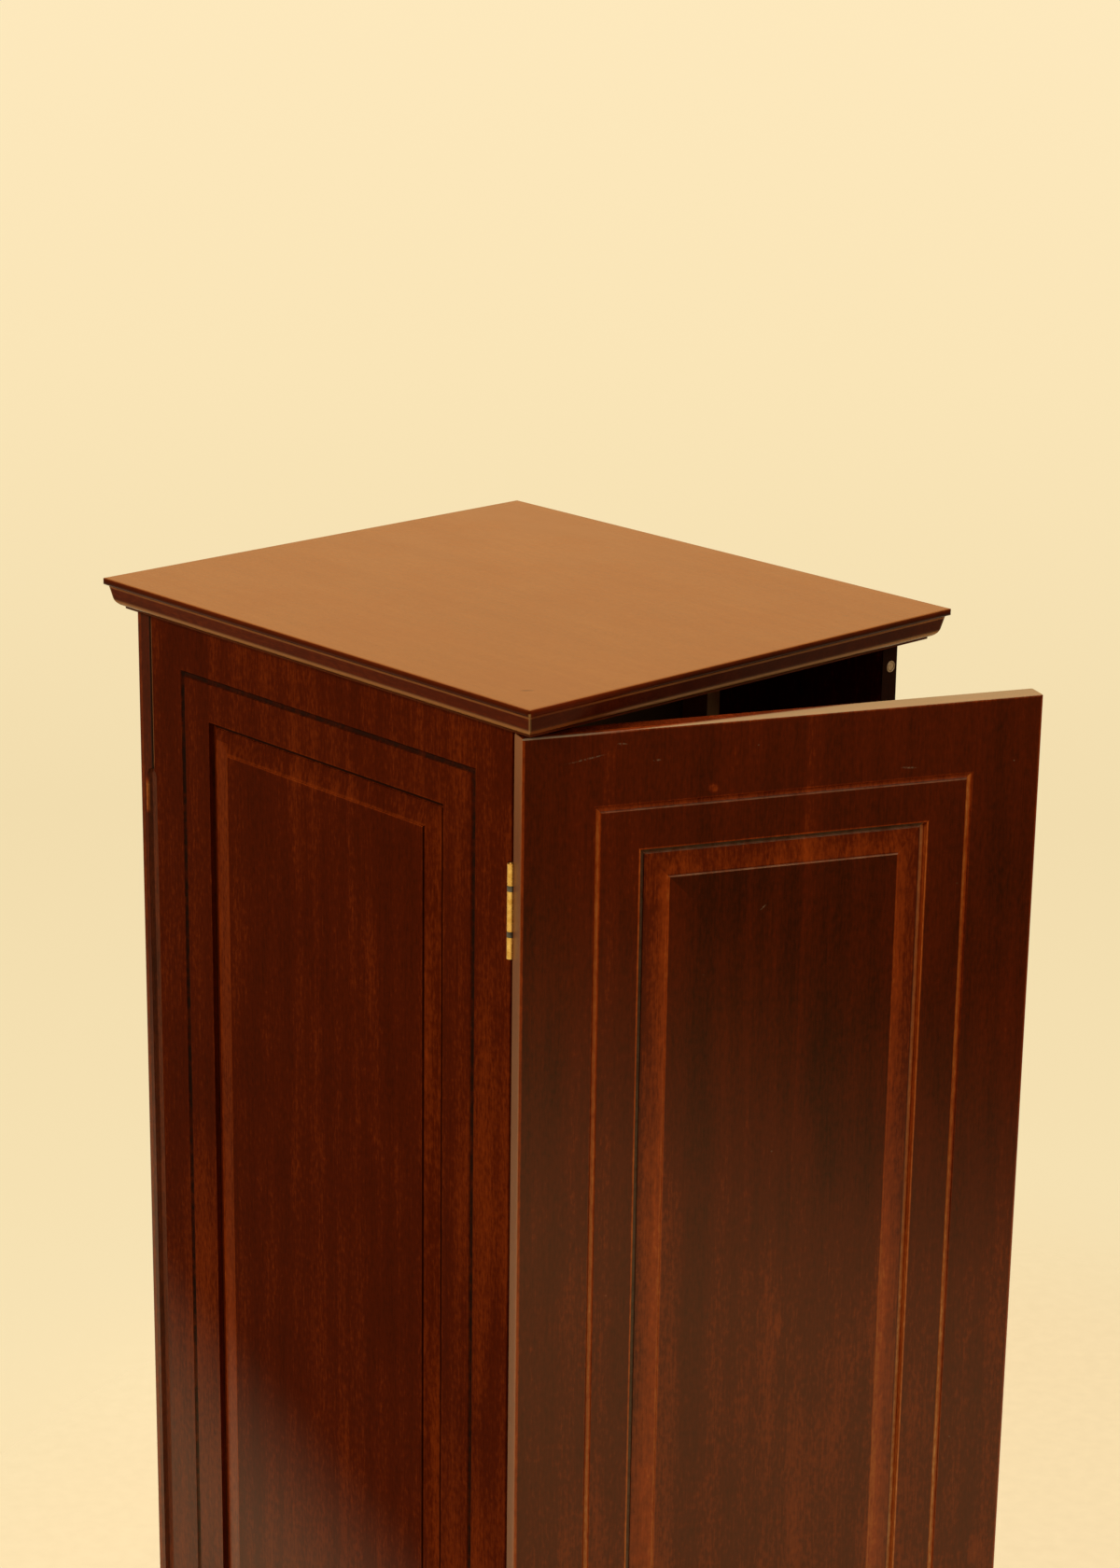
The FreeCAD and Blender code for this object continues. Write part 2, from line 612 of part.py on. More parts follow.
def cut_leaf_holes(body, face, inward):
    """Pin bore and countersunk screw holes of a leaf."""
    bore = circle("0", "0", "sizes.pin_radius + sizes.pin_fit")
    cut(body, "pin_bore", "XY", "-sizes.hinge_length / 2", [bore], "sizes.hinge_length", 1)
    sinks = hinge_screw_loops(["0"], "sizes.screw_head_radius + sizes.screw_fit")
    holes = hinge_screw_loops(["0"], "sizes.screw_shank_radius + sizes.screw_fit")
    cut(body, "countersinks", "XZ", face, sinks, SCREW_CONE, inward, SCREW_TAPER)
    cut(body, "screw_holes", "XZ", face, holes, "sizes.leaf_thickness", inward)


def make_pin(label):
    body = new_body(label)
    low = "-(sizes.hinge_length / 2 + sizes.pin_end)"
    length = "sizes.hinge_length + 2 * sizes.pin_end"
    rod = pad(body, "rod", "XY", low, [circle("0", "0", "sizes.pin_radius")], length, 1)
    ease(body, "ends", rod, "sizes.pin_rounding", lambda edge: not is_upright(edge))
    return body


def make_washers(label):
    body = new_body(label)
    ring = [circle("0", "0", "sizes.barrel_radius"), circle("0", "0", "sizes.pin_radius + sizes.pin_fit")]
    upper = pad(body, "upper", "XY", WASHER_START, ring, "sizes.washer_length", 1)
    mirror(body, "lower", [upper], "XY_Plane")
    return body


def make_hinge_screws(label, face, inward):
    """The six screws through one door's or one side's leaves, about the hinge axis and mid height."""
    body = new_body(label)
    heights = (HINGE_Z, f"-{HINGE_Z}")
    heads = hinge_screw_loops(heights, "sizes.screw_head_radius")
    shanks = hinge_screw_loops(heights, "sizes.screw_shank_radius")
    pad(body, "heads", "XZ", face, heads, SCREW_CONE, inward, SCREW_TAPER)
    pad(body, "shanks", "XZ", face, shanks, "sizes.screw_length", inward)
    return body


def make_hinges(end, sign, frame_turn, door_turn):
    """Both hinges of one door, with their screws."""
    across = f"{sign} * {HINGE_X}"
    along = f"{sign} * {HINGE_Y}"
    for level, rise in (("upper", 1), ("lower", -1)):
        up = f"{MID_HEIGHT} + {rise} * {HINGE_Z}"
        place(make_frame_leaf(f"{end}_{level}_frame_leaf"), across, along, up, angle=frame_turn)
        place(make_door_leaf(f"{end}_{level}_door_leaf"), across, along, up, angle=door_turn)
        place(make_pin(f"{end}_{level}_hinge_pin"), across, along, up, angle=frame_turn)
        place(make_washers(f"{end}_{level}_hinge_washers"), across, along, up, angle=frame_turn)
    frame_screws = make_hinge_screws(f"{end}_frame_hinge_screws", HALF_GAP, 1)
    door_screws = make_hinge_screws(f"{end}_door_hinge_screws", f"-{HALF_GAP}", -1)
    place(frame_screws, across, along, MID_HEIGHT, angle=frame_turn)
    place(door_screws, across, along, MID_HEIGHT, angle=door_turn)


# Catches

def make_magnets(label):
    """Two magnets let into the edge of the far side, about the hinge axis of the door that they hold."""
    body = new_body(label)
    heights = (MAGNET_Z, f"-{MAGNET_Z}")
    rounds = [circle(STRIKE_X, height, "sizes.magnet_radius") for height in heights]
    pad(body, "rounds", "XZ", f"{HALF_GAP} - sizes.magnet_proud", rounds, "sizes.magnet_length", 1)
    return body


def make_strikes(label):
    """Two steel plates let into the back of a door, about its hinge axis."""
    body = new_body(label)
    heights = (MAGNET_Z, f"-{MAGNET_Z}")
    rounds = [circle(STRIKE_X, height, "sizes.strike_radius") for height in heights]
    pad(body, "rounds", "XZ", f"-{HALF_GAP}", rounds, "sizes.strike_thickness", -1)
    return body


# Inside

def make_divider():
    body = new_body("centre_divider")
    deep = "(sizes.divider_thickness / 2)"
    plan = rectangle(f"-{INNER_HALF}", f"-{deep}", INNER_HALF, deep)
    pad(body, "panel", "XY", BOARD, [plan], BODY_HEIGHT, 1)


def make_batten(label, side, end):
    """A batten screwed to a side, with x away from the side and the origin at mid height."""
    body = new_body(label)
    deep = "(sizes.batten_depth / 2)"
    plan = rectangle("0", f"-{deep}", "sizes.batten_width", deep)
    pad(body, "strip", "XY", f"-{BODY_HEIGHT} / 2", [plan], BODY_HEIGHT, 1)
    heights = [f"{step} * sizes.batten_screw_pitch" for step in (-1, 0, 1)]
    sinks = [circle("0", height, "sizes.screw_head_radius + sizes.screw_fit") for height in heights]
    holes = [circle("0", height, "sizes.screw_shank_radius + sizes.screw_fit") for height in heights]
    cut(body, "countersinks", "YZ", "sizes.batten_width", sinks, SCREW_CONE, -1, SCREW_TAPER)
    cut(body, "screw_holes", "YZ", "sizes.batten_width", holes, "sizes.batten_width", -1)
    turn = "0" if side < 0 else "180"
    place(body, f"{side} * {INNER_HALF}", f"{end} * {BATTEN_Y}", MID_HEIGHT, angle=turn)


def make_batten_screws():
    body = new_body("batten_screws")
    face = f"-({INNER_HALF} - sizes.batten_width)"
    heads = batten_screw_loops("sizes.screw_head_radius")
    shanks = batten_screw_loops("sizes.screw_shank_radius")
    left = [
        pad(body, "heads", "YZ", face, heads, SCREW_CONE, -1, SCREW_TAPER),
        pad(body, "shanks", "YZ", face, shanks, "sizes.batten_screw_length", -1),
    ]
    mirror(body, "right", left, "YZ_Plane")
    place(body, "0", "0", MID_HEIGHT)


def make_shelf(label, turn):
    """A loose shelf, notched round the battens, as it lies in the front compartment."""
    body = new_body(label)
    wide = f"({INNER_HALF} - sizes.shelf_clearance)"
    notch_x = f"({wide} - sizes.batten_width)"
    back = "-(sizes.divider_thickness / 2 + sizes.shelf_clearance)"
    notch_y = f"({back} - sizes.batten_depth)"
    front = f"-{SHELF_FRONT}"
    plan = outline([
        (f"-{wide}", front), (wide, front), (wide, notch_y), (notch_x, notch_y),
        (notch_x, back), (f"-{notch_x}", back), (f"-{notch_x}", notch_y), (f"-{wide}", notch_y),
    ])
    pad(body, "panel", "XY", SHELF_Z, [plan], "sizes.shelf_thickness", 1)
    place(body, "0", "0", "0", angle=turn)


def make_shelf_pins(label, turn):
    body = new_body(label)
    start = f"-({INNER_HALF} + sizes.shelf_pin_in_side)"
    rounds = [
        circle(f"-{spot}", SHELF_PIN_Z, "sizes.shelf_pin_radius")
        for spot in (SHELF_PIN_FRONT, SHELF_PIN_BACK)
    ]
    left = pad(body, "left", "YZ", start, rounds, "sizes.shelf_pin_in_side + sizes.shelf_pin_out", 1)
    mirror(body, "right", [left], "YZ_Plane")
    place(body, "0", "0", "0", angle=turn)


# Assembly

def make_end(end, sign, frame_turn, door_turn):
    """One door with its hinges and catches; sign is the side of its hinge, on both level axes."""
    across = f"{sign} * {HINGE_X}"
    along = f"{sign} * {HINGE_Y}"
    place(make_door(f"{end}_door"), across, along, MID_HEIGHT, angle=door_turn)
    make_hinges(end, sign, frame_turn, door_turn)
    place(make_magnets(f"{end}_magnets"), across, along, MID_HEIGHT, angle=frame_turn)
    place(make_strikes(f"{end}_strikes"), across, along, MID_HEIGHT, angle=door_turn)
    make_shelf(f"{end}_shelf", frame_turn)
    make_shelf_pins(f"{end}_shelf_pins", frame_turn)


make_boards()
place(make_side("left_side"), f"-{BODY_WIDTH} / 2", "0", MID_HEIGHT)
place(make_side("right_side"), f"{BODY_WIDTH} / 2", "0", MID_HEIGHT, angle="180")
make_divider()
for end_name, end_sign in (("front", -1), ("rear", 1)):
    for side_name, side_sign in (("left", -1), ("right", 1)):
        make_batten(f"{end_name}_{side_name}_batten", side_sign, end_sign)
make_batten_screws()
make_end("front", -1, "0", "-sizes.door_ajar_angle")
make_end("rear", 1, "180", "180")
doc.recompute()

# Checks and files
for item in doc.Objects:
    if "Invalid" in item.State or "Error" in item.State:
        raise RuntimeError(f"{item.Name} failed: {item.State}")
for node in nodes:
    if node.Shape.isNull() or not node.Shape.isValid():
        raise RuntimeError(f"{node.Label} has no valid shape")
os.makedirs("parts", exist_ok=True)
for node in nodes:
    node.Shape.exportStep(f"parts/{node.Label}.step")
print(f"{len(nodes)} nodes, {sum(len(node.Shape.Solids) for node in nodes)} solids")
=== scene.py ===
"""Storage plinth: finishes, fittings, floor, light and camera.

Metres, +Z up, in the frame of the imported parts. A panel is a routed side or door. Its own frame has the
origin in the middle of the outer face, X along the face, -Y out of it and Z up.
"""
import json
import math
from collections import namedtuple

import bmesh
import bpy
import numpy as np
from mathutils import Matrix, Vector


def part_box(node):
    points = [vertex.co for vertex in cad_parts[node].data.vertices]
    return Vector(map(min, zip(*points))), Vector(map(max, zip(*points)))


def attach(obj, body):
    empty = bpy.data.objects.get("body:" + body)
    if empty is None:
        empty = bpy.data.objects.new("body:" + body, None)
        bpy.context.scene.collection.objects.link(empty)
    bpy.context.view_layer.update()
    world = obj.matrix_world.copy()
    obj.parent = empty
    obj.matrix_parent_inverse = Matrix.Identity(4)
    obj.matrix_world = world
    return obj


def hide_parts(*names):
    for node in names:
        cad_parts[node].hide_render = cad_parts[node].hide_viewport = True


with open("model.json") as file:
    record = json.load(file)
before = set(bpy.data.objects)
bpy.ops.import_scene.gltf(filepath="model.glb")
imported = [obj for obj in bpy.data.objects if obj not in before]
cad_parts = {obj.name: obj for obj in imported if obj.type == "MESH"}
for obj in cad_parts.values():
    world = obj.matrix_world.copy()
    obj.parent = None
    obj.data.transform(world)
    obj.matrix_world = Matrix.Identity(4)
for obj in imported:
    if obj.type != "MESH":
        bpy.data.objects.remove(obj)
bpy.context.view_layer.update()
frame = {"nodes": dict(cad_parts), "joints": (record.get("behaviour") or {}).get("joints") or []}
nodes = frame["nodes"]

MM = 0.001
BUMP_STRENGTH = 0.3
# Share of a blot's size at which it is full
BLOT_CORE = 0.4
# Between these lies most of a noise
NOISE_RANGE = (0.3, 0.7)


def srgb(red, green, blue):
    """Linear colour of 8-bit display values."""
    def linear(value):
        share = value / 255
        return share / 12.92 if share <= 0.04045 else ((share + 0.055) / 1.055) ** 2.4
    return linear(red), linear(green), linear(blue), 1


class Shading:
    """A node tree, built up from small steps."""

    def __init__(self, tree):
        self.tree = tree
        self.tree.nodes.clear()

    def add(self, kind, inputs=None, **settings):
        node = self.tree.nodes.new(kind)
        for name, value in settings.items():
            setattr(node, name, value)
        for key, value in (inputs or {}).items():
            self.feed(node.inputs[key], value)
        return node

    def feed(self, socket, value):
        if isinstance(value, bpy.types.NodeSocket):
            self.tree.links.new(value, socket)
        else:
            socket.default_value = value

    def place(self):
        return self.add("ShaderNodeTexCoord").outputs["Object"]

    def local(self, origin, turn):
        """Coordinates in a frame with that origin, turned about Z."""
        values = {"Vector": self.place(), "Location": origin, "Rotation": (0, 0, turn)}
        return self.add("ShaderNodeMapping", values, vector_type="TEXTURE").outputs[0]

    def scaled(self, vector, scale, shift=(0, 0, 0), turn=(0, 0, 0)):
        values = {"Vector": vector, "Scale": scale, "Location": shift, "Rotation": turn}
        return self.add("ShaderNodeMapping", values).outputs[0]

    def parts(self, vector):
        return self.add("ShaderNodeSeparateXYZ", {0: vector}).outputs

    def length(self, vector):
        return self.add("ShaderNodeVectorMath", {0: vector}, operation="LENGTH").outputs["Value"]

    def calc(self, operation, *values):
        inputs = dict(enumerate(values))
        return self.add("ShaderNodeMath", inputs, operation=operation).outputs[0]

    def times(self, first, *others):
        """Product of the values."""
        for other in others:
            first = self.calc("MULTIPLY", first, other)
        return first

    def plus(self, base, value, share):
        """base with a share of value added."""
        return self.calc("MULTIPLY_ADD", value, share, base)

    def choose(self, switch, off, on):
        """off where switch is 0, on where it is 1."""
        return self.plus(off, switch, self.calc("SUBTRACT", on, off))

    def within(self, value, low, high):
        """1 from low to high, 0 outside."""
        return self.calc("COMPARE", value, (low + high) / 2, (high - low) / 2)

    def span(self, value, low, high, to_low=0.0, to_high=1.0):
        """Value from low to high, carried smoothly to to_low and to_high."""
        inputs = {"Value": value, "From Min": low, "From Max": high, "To Min": to_low, "To Max": to_high}
        return self.add("ShaderNodeMapRange", inputs, interpolation_type="SMOOTHSTEP").outputs[0]

    def mix(self, share, first, second):
        """Colour from first to second as share goes from 0 to 1."""
        node = self.add("ShaderNodeMix", data_type="RGBA")
        for index, value in ((0, share), (6, first), (7, second)):
            self.feed(node.inputs[index], value)
        return node.outputs[2]

    def noise(self, vector, scale, detail=2.0, rough=0.5, warp=0.0):
        inputs = {"Vector": vector, "Scale": scale, "Detail": detail, "Roughness": rough, "Distortion": warp}
        return self.add("ShaderNodeTexNoise", inputs).outputs[0]

    def ramp(self, value, stops):
        """Colours or greys at places from 0 to 1."""
        node = self.add("ShaderNodeValToRGB", {"Fac": value})
        elements = node.color_ramp.elements
        elements.remove(elements[1])
        for index, (at, colour) in enumerate(stops):
            element = elements[0] if index == 0 else elements.new(at)
            element.position = at
            element.color = colour if isinstance(colour, tuple) else (colour, colour, colour, 1)
        return node.outputs["Color"]

    def profile(self, value, stops):
        """Grey along a length: stops are (millimetres, grey) pairs, in growing order."""
        low = stops[0][0] * MM
        reach = stops[-1][0] * MM - low
        share = self.calc("DIVIDE", self.calc("SUBTRACT", value, low), reach)
        return self.ramp(share, [((at * MM - low) / reach, grey) for at, grey in stops])

    def signed_profile(self, value, stops):
        """A profile whose greys may lie below 0."""
        grey = self.profile(value, [(at, tone + 0.5) for at, tone in stops])
        return self.calc("SUBTRACT", grey, 0.5)

    def blot(self, own, at, size, turn=(0, 0, 0)):
        """1 in the middle of a small ellipsoid, 0 outside; its place and half sizes are in millimetres."""
        values = {
            "Vector": own,
            "Location": tuple(place * MM for place in at),
            "Rotation": turn,
            "Scale": tuple(reach * MM for reach in size),
        }
        inside = self.add("ShaderNodeMapping", values, vector_type="TEXTURE").outputs[0]
        return self.span(self.length(inside), 1.0, BLOT_CORE)

    def bump(self, height, distance):
        inputs = {"Height": height, "Distance": distance, "Strength": BUMP_STRENGTH}
        return self.add("ShaderNodeBump", inputs).outputs[0]

    def seen(self):
        """1 for the camera's, mirrored and transmitted rays, 0 for the light that falls on things."""
        ray = self.add("ShaderNodeLightPath").outputs
        mirrored = self.calc("MAXIMUM", ray["Is Camera Ray"], ray["Is Glossy Ray"])
        return self.calc("MAXIMUM", mirrored, ray["Is Transmission Ray"])


class Finish(Shading):
    """The node tree of a new material."""

    def __init__(self, name):
        self.material = bpy.data.materials.new(name)
        self.material.use_nodes = True
        super().__init__(self.material.node_tree)

    def surface(self, **inputs):
        """The shader; an input's name has _ for a space."""
        values = {name.replace("_", " "): value for name, value in inputs.items()}
        shader = self.add("ShaderNodeBsdfPrincipled", values)
        self.add("ShaderNodeOutputMaterial", {"Surface": shader.outputs[0]})
        return self.material


def dress(node, material):
    slots = nodes[node].data.materials
    if not slots:
        slots.append(material)
    for index in range(len(slots)):
        slots[index] = material


# Stained wood

STAIN = (
    (0.00, srgb(14, 5, 1)),
    (0.30, srgb(49, 14, 1)),
    (0.50, srgb(82, 24, 3)),
    (0.70, srgb(138, 54, 12)),
    (0.85, srgb(170, 92, 34)),
    (1.00, srgb(214, 158, 92)),
)
# The boards' broad face: the stain painted lighter, as lit from above
LIT_TOP_STAIN = (
    (0.00, srgb(78, 36, 6)),
    (0.50, srgb(123, 69, 25)),
    (1.00, srgb(155, 97, 42)),
)
BARE_WOOD = (
    (0.00, srgb(110, 82, 50)),
    (0.50, srgb(166, 138, 94)),
    (1.00, srgb(200, 170, 124)),
)
DARK_INSIDE = (
    (0.00, srgb(14, 8, 3)),
    (0.50, srgb(44, 26, 12)),
    (1.00, srgb(80, 54, 28)),
)
# Dark brown for dirt and painted shade in the side's grooves and the joint by the finger pull, and painted
# shade on the boards' slope
DIRT_AND_SHADE = srgb(30, 19, 12)
# Grey of dust and scratches, also painted sheen and highlight lines on the doors
DUST_AND_SHEEN = srgb(158, 140, 108)
# Pale colour of the rubbed mitres and of the painted highlights along the moulding
RUB_AND_HIGHLIGHT = srgb(176, 134, 78)
# Pale edging of the door's hinge edge, also a painted highlight down the left side's joint
EDGING_AND_HIGHLIGHT = srgb(196, 130, 76)
# Pale tan painted on the lit part of the doors' top end
PAINTED_LIT_END = srgb(146, 118, 80)
# Tints of the polish
BOARD_TINT = (1.0, 0.64, 0.35, 1.0)
PANEL_TINT = (0.9, 0.76, 0.50, 1.0)
# Turns that lay the grain along Y or X
ALONG_Y = (math.pi / 2, 0, 0)
ALONG_X = (0, math.pi / 2, 0)
# Roughness of polished and of plain wood, how far smears change it, and the noise of the smears
POLISHED = 0.235
PLAIN = 0.5
SMEARED = 0.03
SMEARS = (14, 3, 0.6)
PLAIN_SHINE = 0.3
PORE_DEPTH = 0.15 * MM
# Steps that give each material another part of the figure
NAME_STEP = 0.37
COUNT_STEP = 0.53
# Layers of the figure: squeeze along the grain, scale, detail, roughness and warp of a noise, and its share
FIGURE = (
    ((0.035, 16, 2, 0.5, 0.5), 0.12),
    ((0.035, 260, 4, 0.6, 0.2), 0.13),
    ((0.4, 14, 4, 0.62, 0.4), 0.26),
    ((0.06, 120, 3, 0.6, 0.3), 0.05),
    ((1, 190, 3, 0.6, 0.0), 0.13),
    ((0.3, 420, 2, 0.6, 0.0), 0.24),
)
FIBRES = (0.03, 1100, 2, 0.5, 0.0)
FIBRE_SHARE = 0.14
ARCH_SQUEEZE = 0.11
ARCH_SHARE = 0.035


def figure(finish, grain):
    """Grey of the wood's figure, about 0.5, and the height of its fibres; the grain runs along Z."""
    def layer(squeeze, scale, detail, rough, warp):
        return finish.noise(finish.scaled(grain, (1, 1, squeeze)), scale, detail, rough, warp)
    fibres = layer(*FIBRES)
    arches = finish.add("ShaderNodeTexWave", {
        "Vector": finish.scaled(grain, (1, 1, ARCH_SQUEEZE)),
        "Scale": 11.0,
        "Distortion": 14.0,
        "Detail": 2.0,
        "Detail Scale": 0.5,
    }).outputs["Fac"]
    layers = [(layer(*settings), share) for settings, share in FIGURE]
    tone = 0.5
    for value, share in layers + [(fibres, FIBRE_SHARE), (arches, ARCH_SHARE)]:
        tone = finish.plus(tone, finish.calc("SUBTRACT", value, 0.5), share)
    return tone, fibres


def plain_stain(palette):
    def stain(finish, own, tone):
        return finish.ramp(tone, palette)
    return stain


def plain_shine(finish, own):
    return PLAIN_SHINE


def wood(name, origin, turn, stain, along=(0, 0, 0), look=None, gloss=POLISHED, shine=plain_shine,
         tint=BOARD_TINT, contrast=1.0):
    """Wood with its grain along Z of a frame turned about Z, or as along says.

    look gives a tone to add to the figure, and veils over the stain as pairs of a share and a colour. shine
    gives the strength of the polish.
    """
    finish = Finish(name)
    own = finish.local(origin, turn)
    shift = (NAME_STEP * len(name), 0.0, COUNT_STEP * len(bpy.data.materials))
    tone, fibres = figure(finish, finish.scaled(own, (1, 1, 1), shift, along))
    tone = finish.plus(0.5, finish.calc("SUBTRACT", tone, 0.5), contrast)
    added, veils = look(finish, own) if look else (0.0, ())
    colour = stain(finish, own, finish.calc("ADD", tone, added))
    for share, veil in veils:
        colour = finish.mix(share, colour, veil)
    smears = finish.noise(own, *SMEARS)
    return finish.surface(
        Base_Color=colour,
        Roughness=finish.span(smears, *NOISE_RANGE, gloss - SMEARED, gloss + SMEARED),
        Specular_IOR_Level=shine(finish, own),
        Specular_Tint=tint,
        Normal=finish.bump(fibres, PORE_DEPTH),
    )


# Sizes of the panels; the bead lies in from the edge, bevel and field lie in from the bead

left_low, left_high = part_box("left_side")
right_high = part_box("right_side")[1]
rear_low, rear_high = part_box("rear_door")
middle = (left_low.z + left_high.z) / 2
side_half = (left_high.y - left_low.y) / 2
door_half = (rear_high.x - rear_low.x) / 2
side_high = (left_high.z - left_low.z) / 2
door_high = (rear_high.z - rear_low.z) / 2
SIDE_BEAD = 43 * MM
DOOR_BEAD = 60.6 * MM
BEVEL_WIDTH = 17 * MM
BEVEL_MIDDLE = 48.5 * MM
FIELD_BEGINS = 59 * MM
SIDE_BEVEL = side_half - SIDE_BEAD - BEVEL_MIDDLE
SIDE_RUN = side_high - SIDE_BEAD - BEVEL_MIDDLE
DOOR_FIELD = door_half - DOOR_BEAD - FIELD_BEGINS
FIELD_END = 402 * MM
PULL_HALF = 389 * MM
# Depth to which marks of the face reach
FACE_DEPTH = 6 * MM

# Routed panels: tones added to the figure and shares of a veil, by millimetres from the middle of the bead
# groove towards the field; the first place is the arris of the panel. The tones are painted highlights and
# shade, which differ between the left, right and level runs as light falls on them, with rubbed arrises; the
# veils are dirt and painted shade on the sides, and dust and painted highlights on the doors

SIDE_BEAD_TONES = (
    (-43, 0.03), (-3.0, 0.03), (-2.4, 0.08), (-1.9, 0.0), (1.6, 0.0), (2.3, 0.07), (3.0, 0.03), (33.6, 0.03),
)
SIDE_LEFT_TONES = SIDE_BEAD_TONES + (
    (34.3, 0.09), (34.6, 0.04), (35.0, -0.34), (35.6, -0.34), (36.0, -0.08), (39.3, 0.02), (40.0, 0.05),
    (56.2, 0.06), (57.4, 0.16), (58.2, 0.20), (58.9, 0.10), (59.4, 0.0), (61, 0.0),
)
SIDE_RIGHT_TONES = SIDE_BEAD_TONES + (
    (34.3, 0.09), (34.9, -0.38), (39.4, -0.38), (39.8, -0.10), (40.2, 0.05),
    (56.2, 0.05), (57.2, 0.06), (57.7, -0.20), (58.7, -0.20), (59.1, 0.10), (59.6, 0.0), (61, 0.0),
)
SIDE_LEVEL_TONES = SIDE_BEAD_TONES + (
    (34.3, 0.10), (34.9, -0.26), (38.0, -0.24), (38.7, 0.08), (39.6, 0.02),
    (56.0, 0.05), (57.0, 0.12), (58.5, 0.18), (59.2, 0.02), (61, 0.0),
)
# Shares of the dark veil in the side's grooves: dirt and painted shade
SIDE_UPRIGHT_DIRT_AND_SHADE = (
    (-43, 0.0), (-2.8, 0.0), (-2.3, 0.95), (1.9, 0.9), (2.6, 0.0), (61, 0.0),
)
SIDE_LEVEL_DIRT_AND_SHADE = (
    (-43, 0.0), (-2.8, 0.0), (-2.3, 0.8), (1.9, 0.8), (2.6, 0.0),
    (34.7, 0.0), (35.1, 0.4), (38.0, 0.4), (38.6, 0.0), (61, 0.0),
)
DOOR_ARRIS_TONES = (
    (-60.6, 0.10), (-60.2, 0.24), (-58.8, 0.22), (-57.8, 0.0), (-3.4, 0.0), (-2.6, 0.12),
)
DOOR_LEFT_TONES = DOOR_ARRIS_TONES + (
    (-2.1, -0.08), (-1.5, 0.18), (-0.4, 0.32), (0.8, 0.34), (2.1, 0.22), (2.6, 0.04), (3.2, 0.0),
    (33.2, 0.0), (33.9, 0.28), (36.0, 0.34), (36.6, -0.06), (38.0, -0.14), (38.6, -0.14), (39.1, 0.12),
    (39.6, 0.06), (50.0, 0.15), (56.6, 0.24), (57.6, 0.34), (58.5, 0.28), (59.3, 0.10),
    (70.0, 0.07), (80.0, 0.0),
)
# Shares of the grey veil in the door's runs: dust, and painted highlight lines
DOOR_LEFT_DUST_AND_HIGHLIGHT = (
    (-60.6, 0.0), (36.0, 0.0), (36.6, 0.15), (38.6, 0.15), (39.2, 0.0), (80, 0.0),
)
DOOR_RIGHT_TONES = DOOR_ARRIS_TONES + (
    (-2.1, 0.10), (-1.5, 0.28), (-0.4, 0.40), (0.8, 0.42), (2.1, 0.30), (2.6, 0.04), (3.2, 0.0),
    (33.2, 0.0), (33.7, 0.34), (34.5, 0.36), (34.9, 0.16), (35.2, 0.0), (35.6, 0.34), (38.0, 0.40),
    (38.5, 0.20), (38.9, -0.10), (39.3, -0.08), (39.8, 0.08), (48.0, 0.14),
    (56.6, 0.23), (57.6, 0.30), (58.5, 0.24), (59.3, 0.0), (61, 0.0),
)
DOOR_RIGHT_DUST_AND_HIGHLIGHT = (
    (-60.6, 0.0), (35.6, 0.0), (36.4, 0.12), (38.6, 0.16), (39.2, 0.0), (61, 0.0),
)
DOOR_LEVEL_TONES = (
    (-60.6, 0.14), (-59.4, 0.14), (-58.8, 0.0),
    (-3.4, 0.0), (-2.6, 0.14), (-2.2, 0.14), (1.5, 0.16), (2.0, -0.04), (2.5, 0.28), (3.0, 0.0),
    (33.2, 0.0), (34.2, 0.28), (34.8, -0.06), (38.0, -0.06), (38.7, 0.24), (39.5, 0.11), (50.0, 0.14),
    (56.8, 0.16), (57.6, 0.08), (58.2, 0.22), (58.8, 0.22), (59.2, 0.0), (61, 0.0),
)
DOOR_LEVEL_DUST_AND_HIGHLIGHT = (
    (-60.6, 0.0), (1.9, 0.0), (2.2, 0.3), (2.7, 0.3), (3.1, 0.0),
    (34.6, 0.0), (35.0, 0.2), (38.2, 0.2), (38.6, 0.36), (39.2, 0.36), (39.5, 0.0),
    (57.9, 0.0), (58.2, 0.4), (58.8, 0.4), (59.1, 0.0), (61, 0.0),
)
# Painted light and shade: tones by height above the middle of a panel, lighter towards the foot and darker
# towards the top
HEIGHT_TONES = ((-540, 0.015), (-250, 0.015), (0, -0.02), (540, -0.025))
# The edge with the finger pull: blur, tone and share of the dark veil on its dark part, which are dirt and
# painted shade in the joint, and tone and share of grey in the pull, which paint light and sheen into its
# hollow
EDGE_BLUR = 1 * MM
EDGE_TONE = -0.24
EDGE_DARKENING = 0.65
PULL_PAINTED_LIGHT = 0.05
PULL_PAINTED_SHEEN = 0.1
# How broken the veil is: range of a noise, and share of the veil at its ends
VEIL_PATCHES = (0.34, 0.6, 0.45, 1.0)
# How much lower the glossy part of a panel ends, for each metre to the right
SHINE_SKEW = 0.42

